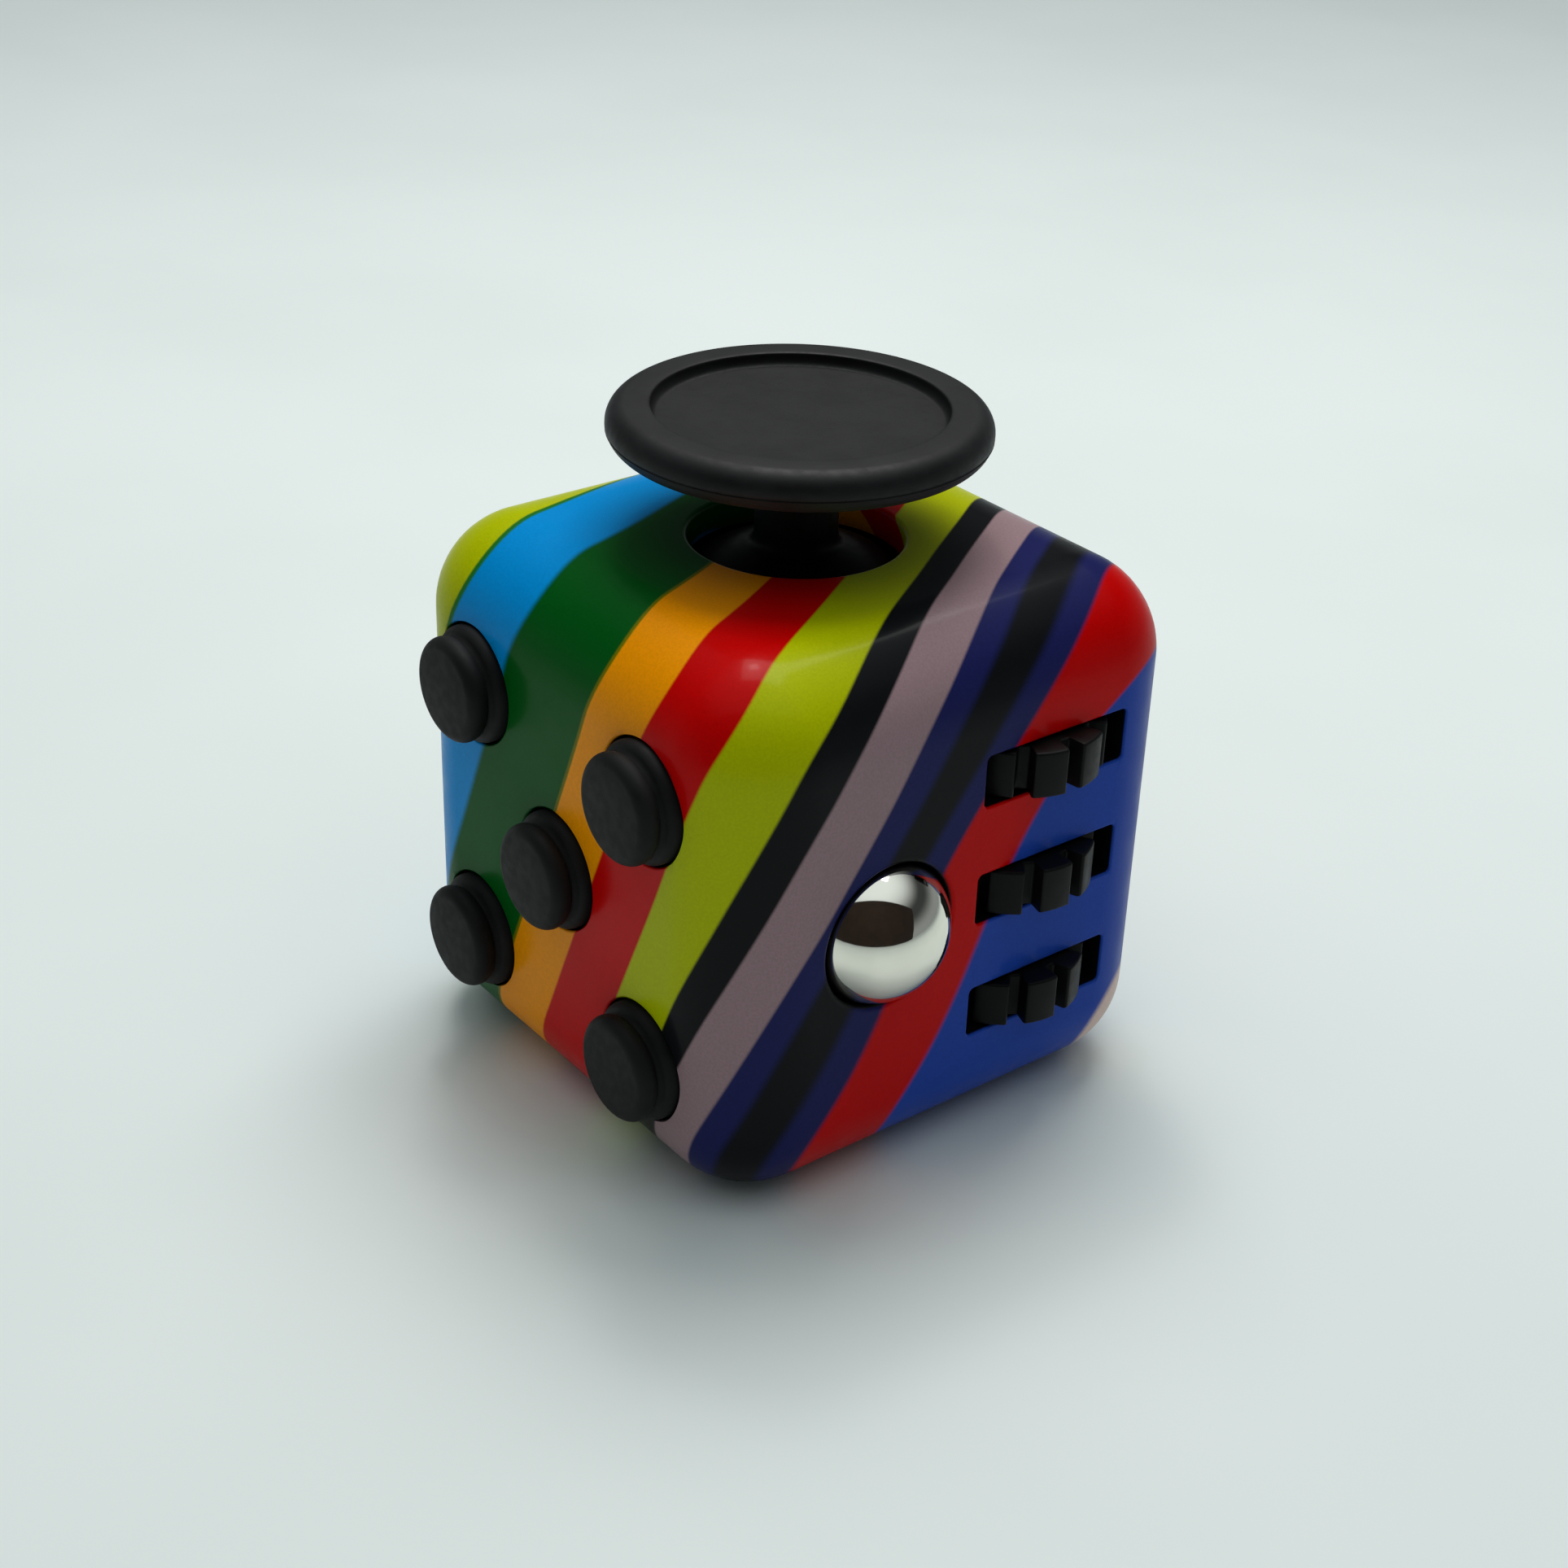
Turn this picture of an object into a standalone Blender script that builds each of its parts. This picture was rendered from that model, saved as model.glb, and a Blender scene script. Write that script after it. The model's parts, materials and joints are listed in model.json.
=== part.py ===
"""Fidget cube: a desk toy with a control on each of its six sides.

Built in metres with +Z up.  The cube stands on its base cover; the origin is at the middle of that face.
The click side looks along -Y, the roll side along +X, the dial side along +Y, the flip side along -X.
"""
import math

import bmesh
import bpy
from mathutils import Matrix, Vector

MM = 0.001

# ---- driving dimensions, in millimetres and degrees ----
SIDE = 33.0
HALF = SIDE / 2
EDGE_RADIUS = 5.8
WALL = 1.8
INNER = HALF - WALL
GAP = 0.25

# glide stick on top
PIVOT_Z = 22.3
PIVOT_BALL_R = 2.2
DOME_R = 10.5
DOME_WALL = 1.3
DOME_HALF_ANGLE = 50.0
NECK_R = 2.4
CAP_R = 10.85
CAP_TOP = 40.75
CAP_RIM_R = 1.2
CAP_DISH_R = 8.4
CAP_DISH_DEPTH = 0.55
TOP_OPENING_R = 6.2

# click side
BUTTON_R = 3.49
BUTTON_FRONT_R = 3.13
BUTTON_PROUD = 2.0
BUTTON_EDGE_R = 0.7
BUTTON_SHOULDER_R = 0.6
BUTTON_PITCH_X = 8.35
BUTTON_PITCH_Z = 8.25
BUTTON_HOLE_R = BUTTON_R + 0.16
BUTTON_FLANGE_R = 3.9
BUTTON_FLANGE_TOP = -WALL - 0.5
BOARD_FRONT = -11.3
BOARD_THICK = 1.0

# roll side: wheels and ball
GEAR_PITCH = 7.5
GEAR_R = 5.0
GEAR_ROOT_R = 3.9
GEAR_TEETH = 10
GEAR_PHASE = {"upper": 17.0, "middle": -6.5, "lower": -10.0}
GEAR_THICK = 2.8
GEAR_X = 13.1
GEAR_Y = 5.87
GEAR_BORE_R = 1.0
AXLE_R = 0.9
SLOT_LENGTH = 10.4
SLOT_HEIGHT = 3.16
BALL_R = 4.41
BALL_PROUD = 2.745
BALL_Y = -5.64
BALL_X = HALF + BALL_PROUD - BALL_R
BALL_SEAT_R = BALL_R + 0.15

# flip side
ROCKER_PIVOT_X = -13.3
ROCKER_TILT = 12.0
ROCKER_END_R = 6.26
ROCKER_PROUD = 4.9
ROCKER_WIDTH = 5.2
ROCKER_PIN_R = 0.7
ROCKER_SLOT_HALF = 6.45

# dial side
DIAL_R = 9.0
DIAL_PROUD = 2.35
DIAL_RECESS = 0.6
DIAL_HUB_R = 3.0

# base
COVER_HALF = 13.1
COVER_OPENING_HALF = 13.4
COVER_CORNER_R = 3.0
COVER_THICK = 3.4
FOOT_LOW = COVER_THICK + GAP
FOOT_TOP = 4.9
DISH_R = 10.0
DISH_DEPTH = 1.9

# screws, and the cup on the post that holds the stem
PILOT_R = 0.62
SCREW_R = 0.5
POST_CUP_R = 3.4
BOARD_SCREW_Z = {"upper": 25.5, "lower": 7.5}
ROCKER_SCREW_Y = 5.4
FOOT_SCREWS = {"gear": (9.6, 9.0), "ball": (9.6, BALL_Y), "post": (0.0, 4.2)}

MID_Z = HALF
BUTTON_MID_Z = MID_Z - 0.2
BUTTON_CENTRES = {
    "upper_left": (-BUTTON_PITCH_X, BUTTON_MID_Z + BUTTON_PITCH_Z),
    "upper_right": (BUTTON_PITCH_X, BUTTON_MID_Z + BUTTON_PITCH_Z),
    "centre": (0.0, BUTTON_MID_Z),
    "lower_left": (-BUTTON_PITCH_X, BUTTON_MID_Z - BUTTON_PITCH_Z),
    "lower_right": (BUTTON_PITCH_X, BUTTON_MID_Z - BUTTON_PITCH_Z),
}
SILENT_BUTTONS = ("upper_right", "lower_left")
GEAR_LEVELS = {"upper": MID_Z + GEAR_PITCH, "middle": MID_Z, "lower": MID_Z - GEAR_PITCH}

# directions in which a turned piece's own +Z can point
TO_TOP = Matrix.Identity(4)
TO_CLICK = Matrix.Rotation(math.radians(90), 4, "X")
TO_DIAL = Matrix.Rotation(math.radians(-90), 4, "X")
TO_ROLL = Matrix.Rotation(math.radians(90), 4, "Y")
TO_FLIP = Matrix.Rotation(math.radians(-90), 4, "Y")


# ---- scene and materials ----
def clear_scene():
    for obj in list(bpy.data.objects):
        bpy.data.objects.remove(obj, do_unlink=True)


def make_collection(name):
    collection = bpy.data.collections.new(name)
    bpy.context.scene.collection.children.link(collection)
    return collection


clear_scene()
PARTS = make_collection("fidget_cube")
CUTTERS = make_collection("cutters")


def material(name, color, roughness, metallic=0.0):
    found = bpy.data.materials.get(name)
    if found:
        return found
    made = bpy.data.materials.new(name)
    made.use_nodes = True
    shader = made.node_tree.nodes["Principled BSDF"]
    shader.inputs["Base Color"].default_value = (*color, 1.0)
    shader.inputs["Roughness"].default_value = roughness
    shader.inputs["Metallic"].default_value = metallic
    return made


def casing_plastic():
    return material("casing_plastic", (0.10, 0.20, 0.60), 0.2)


def soft_touch():
    return material("soft_touch", (0.035, 0.035, 0.037), 0.6)


def gloss_black():
    return material("gloss_black", (0.010, 0.010, 0.011), 0.15)


def satin_black():
    return material("satin_black", (0.016, 0.016, 0.017), 0.35)


def inner_plastic():
    return material("inner_plastic", (0.022, 0.022, 0.024), 0.45)


def board_green():
    return material("board_green", (0.02, 0.16, 0.07), 0.4)


def silicone():
    return material("silicone", (0.62, 0.62, 0.60), 0.7)


def polished_steel():
    return material("polished_steel", (0.80, 0.80, 0.80), 0.06, 1.0)


def brushed_steel():
    return material("brushed_steel", (0.58, 0.57, 0.55), 0.3, 1.0)


# ---- mesh helpers ----
def link(obj, collection, finish):
    collection.objects.link(obj)
    if finish:
        obj.data.materials.append(finish)
    if collection is CUTTERS:
        obj.hide_render = True
        obj.display_type = "WIRE"
    return obj


def smooth(obj, angle=35.0):
    """Shade the rounds smooth and keep the edges that are sharper than the angle."""
    obj.data.shade_smooth()
    obj.data.set_sharp_from_angle(angle=math.radians(angle))


def object_from_bmesh(name, shape, collection, finish, place=None):
    mesh = bpy.data.meshes.new(name)
    shape.to_mesh(mesh)
    shape.free()
    obj = link(bpy.data.objects.new(name, mesh), collection, finish)
    if place is not None:
        obj.matrix_world = place
    return obj


def at(x, y, z, turn=TO_TOP):
    """A placement in millimetres, with the piece's own +Z turned to a side of the cube."""
    return Matrix.Translation(Vector((x, y, z)) * MM) @ turn


def box(name, size, centre, collection, finish=None, bevel=0.0, segments=2):
    shape = bmesh.new()
    bmesh.ops.create_cube(shape, size=1.0, matrix=Matrix.Diagonal((*(Vector(size) * MM), 1.0)))
    obj = object_from_bmesh(name, shape, collection, finish, at(*centre))
    if bevel:
        rounding = obj.modifiers.new("rounding", "BEVEL")
        rounding.width = bevel * MM
        rounding.segments = segments
        rounding.limit_method = "NONE"
    return obj


def rod(name, radius, low, high, place, collection, finish=None, sides=20):
    """A round bar along its own Z, from low to high."""
    shape = bmesh.new()
    middle = Matrix.Translation((0, 0, (low + high) / 2 * MM))
    bmesh.ops.create_cone(
        shape,
        cap_ends=True,
        segments=sides,
        radius1=radius * MM,
        radius2=radius * MM,
        depth=(high - low) * MM,
        matrix=middle,
    )
    return object_from_bmesh(name, shape, collection, finish, place)


def ball_shape(name, radius, place, collection, finish=None, rings=16, sides=28):
    shape = bmesh.new()
    bmesh.ops.create_uvsphere(shape, u_segments=sides, v_segments=rings, radius=radius * MM)
    return object_from_bmesh(name, shape, collection, finish, place)


def turned(name, profile, place, collection, finish=None, sides=32, closed=False):
    """A turned piece about its own Z.

    The profile is (radius, height) points, which run down the outer side.  An open profile starts and ends on
    the axis.  A closed one goes back up the inner side of a ring.
    """
    mesh = bpy.data.meshes.new(name)
    points = [(radius * MM, 0.0, height * MM) for radius, height in profile]
    edges = [(i, i + 1) for i in range(len(points) - 1)]
    if closed:
        edges.append((len(points) - 1, 0))
    mesh.from_pydata(points, edges, [])
    obj = link(bpy.data.objects.new(name, mesh), collection, finish)
    obj.matrix_world = place
    screw = obj.modifiers.new("turn", "SCREW")
    screw.steps = sides
    screw.render_steps = sides
    screw.use_merge_vertices = True
    screw.merge_threshold = 0.000001
    return obj


def coil(name, radius, wire, low, high, turns, place, finish):
    """A compression spring along its own Z, as a round wire on a helix."""
    per_turn = 9
    count = int(turns * per_turn) + 1
    curve = bpy.data.curves.new(name, "CURVE")
    curve.dimensions = "3D"
    curve.bevel_depth = wire / 2 * MM
    curve.bevel_resolution = 0
    curve.use_fill_caps = True
    line = curve.splines.new("POLY")
    line.points.add(count - 1)
    for i, point in enumerate(line.points):
        angle = 2 * math.pi * i / per_turn
        height = low + (high - low) * i / (count - 1)
        point.co = (radius * math.cos(angle) * MM, radius * math.sin(angle) * MM, height * MM, 1.0)
    obj = link(bpy.data.objects.new(name, curve), PARTS, finish)
    obj.matrix_world = place
    return obj


def outline(name, points, thickness, place, collection, finish=None):
    """A flat outline, extruded by half its thickness each way along its own Z."""
    curve = bpy.data.curves.new(name, "CURVE")
    curve.dimensions = "2D"
    curve.fill_mode = "BOTH"
    curve.extrude = thickness / 2 * MM
    line = curve.splines.new("POLY")
    line.use_cyclic_u = True
    line.points.add(len(points) - 1)
    for point, (x, y) in zip(line.points, points):
        point.co = (x * MM, y * MM, 0.0, 1.0)
    obj = link(bpy.data.objects.new(name, curve), collection, finish)
    obj.matrix_world = place
    return as_mesh(obj, collection, finish)


def as_mesh(curve_obj, collection, finish):
    """Make a curve object a welded mesh, so that it can be cut or joined."""
    bpy.context.view_layer.update()
    name = curve_obj.name
    place = curve_obj.matrix_world.copy()
    evaluated = curve_obj.evaluated_get(bpy.context.evaluated_depsgraph_get())
    mesh = bpy.data.meshes.new_from_object(evaluated)
    shape = bmesh.new()
    shape.from_mesh(mesh)
    bmesh.ops.remove_doubles(shape, verts=shape.verts, dist=0.000001)
    bmesh.ops.recalc_face_normals(shape, faces=shape.faces)
    shape.to_mesh(mesh)
    shape.free()
    mesh.materials.clear()
    bpy.data.objects.remove(curve_obj, do_unlink=True)
    obj = link(bpy.data.objects.new(name, mesh), collection, finish)
    obj.name = name
    obj.matrix_world = place
    return obj


def combine(target, tool, operation):
    change = target.modifiers.new(operation.lower() + "_" + tool.name, "BOOLEAN")
    change.operation = operation
    change.solver = "EXACT"
    change.object = tool
    return target


def cut(target, *tools):
    for tool in tools:
        combine(target, tool, "DIFFERENCE")
    return target


def join(target, *tools):
    for tool in tools:
        combine(target, tool, "UNION")
    return target


def arc(radius, start, stop, count, centre=(0.0, 0.0)):
    """Points on an arc, angles in degrees from the first axis."""
    angles = [math.radians(start + (stop - start) * i / (count - 1)) for i in range(count)]
    return [(centre[0] + radius * math.cos(a), centre[1] + radius * math.sin(a)) for a in angles]


def pan_screw(name, head_r, head_height, shank_r, shank_length, place):
    """A small pan-head screw; its own Z points out of the head, and z = 0 is under the head."""
    profile = [
        (0.0, head_height),
        (head_r * 0.62, head_height * 0.96),
        (head_r * 0.92, head_height * 0.6),
        (head_r, 0.0),
        (shank_r, 0.0),
        (shank_r, -shank_length + 0.3),
        (0.0, -shank_length),
    ]
    obj = turned(name, profile, place, PARTS, brushed_steel(), sides=10)
    bar_length = head_r * 1.1
    bar_width = head_r * 0.26
    bar_sizes = {"a": (bar_length, bar_width, head_height), "b": (bar_width, bar_length, head_height)}
    for way, size in bar_sizes.items():
        bar = box(f"{name}_drive_{way}", size, (0, 0, 0), CUTTERS)
        bar.matrix_world = place @ Matrix.Translation((0, 0, head_height * 1.05 * MM))
        cut(obj, bar)
    return obj


# ---- casing ----
def rounded_prism(name, half, corner_r, low, high, collection, finish=None):
    """An upright square bar with rounded vertical edges."""
    inset = half - corner_r
    points = []
    for quarter, (sx, sy) in enumerate(((1, 1), (-1, 1), (-1, -1), (1, -1))):
        points += arc(corner_r, 90 * quarter, 90 * quarter + 90, 7, (sx * inset, sy * inset))
    return outline(name, points, high - low, at(0, 0, (low + high) / 2), collection, finish)


def rounded_cube(name, half, radius, collection, finish=None, segments=6):
    return box(name, (2 * half,) * 3, (0, 0, MID_Z), collection, finish, bevel=radius, segments=segments)


def make_shell():
    shell = rounded_cube("shell", HALF, EDGE_RADIUS, PARTS, casing_plastic())
    hollow = rounded_cube("shell_hollow", INNER, EDGE_RADIUS - WALL, CUTTERS, segments=4)
    mouth = rounded_prism("shell_mouth", COVER_OPENING_HALF, COVER_CORNER_R, -1.0, 4.0, CUTTERS)
    cut(shell, hollow, mouth)

    edge = 0.25
    opening = [
        (0, 1.0),
        (TOP_OPENING_R + edge + 0.2, 1.0),
        (TOP_OPENING_R + edge, 0.0),
        (TOP_OPENING_R, -edge),
        (TOP_OPENING_R, -WALL - 1.0),
        (0, -WALL - 1.0),
    ]
    cut(shell, turned("stick_opening", opening, at(0, 0, SIDE), CUTTERS, sides=32))

    for key, (x, z) in BUTTON_CENTRES.items():
        place = at(x, -HALF, z, TO_CLICK)
        cut(shell, rod("button_hole_" + key, BUTTON_HOLE_R, -WALL - 1.0, 1.0, place, CUTTERS, sides=24))
    for key, z in GEAR_LEVELS.items():
        size = (WALL + 2.0, SLOT_LENGTH, SLOT_HEIGHT)
        cut(shell, box("gear_slot_" + key, size, (HALF - WALL / 2, GEAR_Y, z), CUTTERS))

    seat = ball_shape("ball_seat", BALL_SEAT_R, at(BALL_X, BALL_Y, MID_Z, TO_ROLL), CUTTERS)
    mouth_low = HALF - BALL_X - 0.35
    mouth_r = math.sqrt(BALL_SEAT_R ** 2 - mouth_low ** 2)
    lip = [
        (0, mouth_low + 1.35),
        (mouth_r + 1.35, mouth_low + 1.35),
        (mouth_r, mouth_low),
        (0, mouth_low - 1.0),
    ]
    cut(shell, seat, turned("ball_lip", lip, at(BALL_X, BALL_Y, MID_Z, TO_ROLL), CUTTERS))

    rocker_slot = (WALL + 2.0, ROCKER_WIDTH + 0.6, 2 * ROCKER_SLOT_HALF)
    cut(shell, box("rocker_slot", rocker_slot, (-HALF + WALL / 2, 0, MID_Z), CUTTERS))
    for side in (-1, 1):
        place = at(-HALF, side * ROCKER_SCREW_Y, MID_Z, TO_FLIP)
        cut(shell, rod(f"rocker_pilot_{side}", PILOT_R, -WALL - 1.0, -0.7, place, CUTTERS, sides=12))

    place = at(0, HALF, MID_Z, TO_DIAL)
    cut(shell, rod("dial_recess", DIAL_R + 0.3, -DIAL_RECESS, 1.0, place, CUTTERS, sides=36))
    cut(shell, rod("dial_hole", DIAL_HUB_R + 0.15, -WALL - 1.0, 1.0, place, CUTTERS, sides=20))

    base = -INNER - 0.4
    face = BOARD_FRONT - GAP
    for name, z in BOARD_SCREW_Z.items():
        place = at(0, 0, z, TO_CLICK)
        join(shell, rod("board_boss_" + name, 1.7, -face, -base, place, CUTTERS, sides=20))
        cut(shell, rod("board_pilot_" + name, PILOT_R, -face - 1.0, -base - 0.1, place, CUTTERS, sides=12))
    smooth(shell)


def make_base_cover():
    cover = rounded_cube("base_cover", HALF, EDGE_RADIUS, PARTS, casing_plastic())
    plate = rounded_prism("cover_plate", COVER_HALF, COVER_CORNER_R - 0.3, -1.0, COVER_THICK, CUTTERS)
    combine(cover, plate, "INTERSECT")
    sphere_r = (DISH_R ** 2 + DISH_DEPTH ** 2) / (2 * DISH_DEPTH)
    dish = [(0, DISH_DEPTH)]
    for step in range(1, 7):
        x = DISH_R * step / 6
        dish.append((x, DISH_DEPTH - sphere_r + math.sqrt(sphere_r ** 2 - x * x)))
    dish += [(DISH_R + 0.4, -0.4), (0, -0.4)]
    cut(cover, turned("thumb_dish", dish, at(0, 0, 0), CUTTERS, sides=48))
    middle = COVER_HALF - 0.5
    bead_middle = middle + 0.25
    for key, (sx, sy) in {"east": (1, 0), "west": (-1, 0), "north": (0, 1), "south": (0, -1)}.items():
        tab_size = (1.0, 8.0, 2.2) if sx else (8.0, 1.0, 2.2)
        tab_centre = (sx * middle, sy * middle, COVER_THICK + 0.8)
        join(cover, box("snap_tab_" + key, tab_size, tab_centre, CUTTERS))
        bead_size = (1.5, 7.0, 0.7) if sx else (7.0, 1.5, 0.7)
        bead_centre = (sx * bead_middle, sy * bead_middle, COVER_THICK + 0.75)
        join(cover, box("snap_bead_" + key, bead_size, bead_centre, CUTTERS))
    for name, (x, y) in FOOT_SCREWS.items():
        cut(cover, rod("foot_pilot_" + name, PILOT_R, 2.0, COVER_THICK + 1.0, at(x, y, 0), CUTTERS, sides=12))
    smooth(cover)


# ---- glide stick ----
def make_core_post():
    """The post on the base cover: foot, column, spring seat and the cup for the stem's pivot ball."""
    socket_r = PIVOT_BALL_R + 0.1
    lip = 1.2
    mouth_r = math.sqrt(socket_r ** 2 - lip ** 2)
    bowl = [(mouth_r, lip)] + arc(socket_r, math.degrees(math.atan2(lip, mouth_r)), -90, 9)[1:]
    foot_top = FOOT_TOP - PIVOT_Z
    foot_low = FOOT_LOW - PIVOT_Z
    outer = [
        (mouth_r + 0.3, lip + 0.4),
        (POST_CUP_R, lip + 0.2),
        (POST_CUP_R, -4.8),
        (6.0, -5.0),
        (6.0, -6.0),
        (2.8, -7.2),
        (2.8, foot_top),
        (5.6, foot_top),
        (5.6, foot_low),
        (0, foot_low),
    ]
    profile = [(max(radius, 0.0), height) for radius, height in reversed(bowl)] + outer
    profile[0] = (0.0, -socket_r)
    post = turned("core_post", profile, at(0, 0, PIVOT_Z), PARTS, inner_plastic(), sides=20)
    x, y = FOOT_SCREWS["post"]
    hole = rod("post_foot_hole", SCREW_R + 0.2, FOOT_LOW - 1, FOOT_TOP + 2, at(x, y, 0), CUTTERS, sides=12)
    cut(post, hole)
    smooth(post)
    smooth(pan_screw("core_post_screw", 0.95, 0.7, SCREW_R, 2.6, at(x, y, FOOT_TOP + GAP)))


def make_stick():
    """The stem is a thin dome with a neck above it and a pin to the pivot ball below it."""
    inner_r = DOME_R - DOME_WALL
    half = DOME_HALF_ANGLE
    neck_foot = math.degrees(math.asin((NECK_R + 0.5) / DOME_R))
    pin_r = 1.25
    neck_top = CAP_TOP - CAP_DISH_DEPTH - 3.2 - PIVOT_Z
    ball_join = math.degrees(math.asin(pin_r / PIVOT_BALL_R))
    profile = [(0, neck_top), (NECK_R - 0.2, neck_top), (NECK_R, neck_top - 0.2), (NECK_R, DOME_R + 0.35)]
    profile += arc(DOME_R, 90 - neck_foot, 90 - half, 7)
    profile += arc(inner_r, 90 - half, 90 - math.degrees(math.asin(2.1 / inner_r)), 5)
    profile += [(pin_r, inner_r - 1.6)]
    profile += arc(PIVOT_BALL_R, 90 - ball_join, -90, 7)
    profile[-1] = (0.0, -PIVOT_BALL_R)
    smooth(turned("joystick_stem", profile, at(0, 0, PIVOT_Z), PARTS, gloss_black(), sides=24))

    rim_r = CAP_R - CAP_RIM_R
    rim_z = CAP_TOP - CAP_RIM_R
    floor_z = CAP_TOP - CAP_DISH_DEPTH
    under_z = floor_z - 2.9
    neck_cup_r = NECK_R + 0.9
    profile = [(0, floor_z), (CAP_DISH_R, floor_z + 0.08), (CAP_DISH_R + 0.45, CAP_TOP - 0.12)]
    profile += arc(CAP_RIM_R, 90, -58, 7, (rim_r, rim_z))
    profile += [
        (6.2, under_z + 0.35),
        (neck_cup_r + 0.5, under_z - 0.7),
        (neck_cup_r, under_z - 1.5),
        (NECK_R + 0.12, under_z - 1.5),
        (NECK_R + 0.12, neck_top + PIVOT_Z + GAP),
        (0, neck_top + PIVOT_Z + GAP),
    ]
    smooth(turned("joystick_cap", profile, at(0, 0, 0), PARTS, satin_black(), sides=32))
    coil("joystick_spring", 4.5, 0.5, -4.4, 4.2, 4, at(0, 0, PIVOT_Z), brushed_steel())


# ---- click side ----
def button_profile():
    """A round-edged disc on a wider shoulder, with a crease between them, then a flange and a plunger."""
    front = arc(BUTTON_EDGE_R, 90, -45, 6, (BUTTON_FRONT_R - BUTTON_EDGE_R, BUTTON_PROUD - BUTTON_EDGE_R))
    shoulder = arc(BUTTON_SHOULDER_R, 80, 0, 4, (BUTTON_R - BUTTON_SHOULDER_R, 0.0))
    plunger_tip = -(HALF - 12.45)
    flange = [
        (BUTTON_R, BUTTON_FLANGE_TOP),
        (BUTTON_FLANGE_R, BUTTON_FLANGE_TOP),
        (BUTTON_FLANGE_R, BUTTON_FLANGE_TOP - 0.5),
    ]
    plunger = [(1.0, BUTTON_FLANGE_TOP - 0.5), (0.9, plunger_tip), (0, plunger_tip)]
    return [(0, BUTTON_PROUD + 0.1)] + front + shoulder + flange + plunger


def make_click_side():
    for key, (x, z) in BUTTON_CENTRES.items():
        place = at(x, -HALF, z, TO_CLICK)
        smooth(turned("button_" + key, button_profile(), place, PARTS, soft_touch(), sides=20))
    back = BOARD_FRONT + BOARD_THICK
    middle = (BOARD_FRONT + back) / 2
    board = box("click_board", (23.4, BOARD_THICK, 22.8), (-0.4, middle, MID_Z), PARTS, board_green())
    cut(board, box("board_notch", (4.0, 2.0, 11.4), (11.2, middle, MID_Z), CUTTERS))
    for name, z in BOARD_SCREW_Z.items():
        place = at(0, 0, z, TO_CLICK)
        cut(board, rod("board_hole_" + name, SCREW_R + 0.2, 9.0, 13.0, place, CUTTERS, sides=12))
        head = at(0, back + 0.15, z, TO_DIAL)
        smooth(pan_screw("click_board_screw_" + name, 1.2, 0.75, SCREW_R, 3.4, head))
    base = -BOARD_FRONT + 0.15
    for key, (x, z) in BUTTON_CENTRES.items():
        place = at(x, 0, z, TO_CLICK)
        if key in SILENT_BUTTONS:
            pad = [(0, base + 0.75), (1.2, base + 0.7), (1.6, base + 0.35), (1.9, base), (0, base)]
            smooth(turned("silent_pad_" + key, pad, place, PARTS, silicone(), sides=16))
        else:
            dome = arc(4.2, 90, 64, 5, (0, base + 0.75 - 4.2)) + [(2.2, base), (0, base)]
            smooth(turned("snap_dome_" + key, dome, place, PARTS, polished_steel(), sides=16))


# ---- roll side: wheels ----
def gear_outline():
    """Flat-topped teeth with straight sides."""
    points = []
    step = 360 / GEAR_TEETH
    tip_half = 0.66 * step / 2
    root_half = 0.70 * step / 2
    tooth_shape = (
        (GEAR_ROOT_R, -root_half),
        (GEAR_R, -tip_half),
        (GEAR_R, 0.0),
        (GEAR_R, tip_half),
        (GEAR_ROOT_R, root_half),
    )
    for tooth in range(GEAR_TEETH):
        for radius, offset in tooth_shape:
            angle = math.radians(tooth * step + offset)
            points.append((radius * math.cos(angle), radius * math.sin(angle)))
    return points


def make_gears():
    low = FOOT_LOW + 2.2
    high = GEAR_LEVELS["upper"] + GEAR_THICK / 2 + 2.5
    for key, z in GEAR_LEVELS.items():
        place = at(GEAR_X, GEAR_Y, z) @ Matrix.Rotation(math.radians(GEAR_PHASE[key]), 4, "Z")
        gear = outline("gear_" + key, gear_outline(), GEAR_THICK, place, PARTS, satin_black())
        cut(gear, rod("gear_bore_" + key, GEAR_BORE_R, -3.0, 3.0, at(GEAR_X, GEAR_Y, z), CUTTERS))
        smooth(gear, 20)
    smooth(rod("gear_axle", AXLE_R, low, high, at(GEAR_X, GEAR_Y, 0), PARTS, brushed_steel()))

    top = high - 0.2
    foot_mid = (FOOT_TOP + FOOT_LOW) / 2
    foot_thick = FOOT_TOP - FOOT_LOW
    spine_centre = (11.5, 12.1, (top + 5.2) / 2)
    bracket = box("gear_bracket", (3.4, 1.2, top - 5.2), spine_centre, PARTS, inner_plastic())
    levels = (low + 0.8, MID_Z - GEAR_PITCH / 2, MID_Z + GEAR_PITCH / 2, top - 0.6)
    for index, z in enumerate(levels):
        join(bracket, box(f"bracket_arm_{index}", (2.6, 8.0, 1.2), (12.7, 8.3, z), CUTTERS))
    foot_x, foot_y = FOOT_SCREWS["gear"]
    foot_centre = (foot_x + 0.2, foot_y + 0.6, foot_mid)
    join(bracket, box("bracket_foot", (3.6, 4.9, foot_thick), foot_centre, CUTTERS))
    join(bracket, box("bracket_knee", (3.2, 1.2, 2.2), (foot_x + 0.4, 11.2, FOOT_LOW + 1.1), CUTTERS))
    cut(bracket, rod("bracket_axle_hole", AXLE_R + 0.05, 0.0, SIDE, at(GEAR_X, GEAR_Y, 0), CUTTERS))
    foot_hole = rod("bracket_foot_hole", SCREW_R + 0.2, 3.0, 6.0, at(foot_x, foot_y, 0), CUTTERS, sides=12)
    cut(bracket, foot_hole)
    smooth(pan_screw("gear_bracket_screw", 1.1, 0.7, SCREW_R, 2.6, at(foot_x, foot_y, FOOT_TOP + 0.15)))


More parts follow.
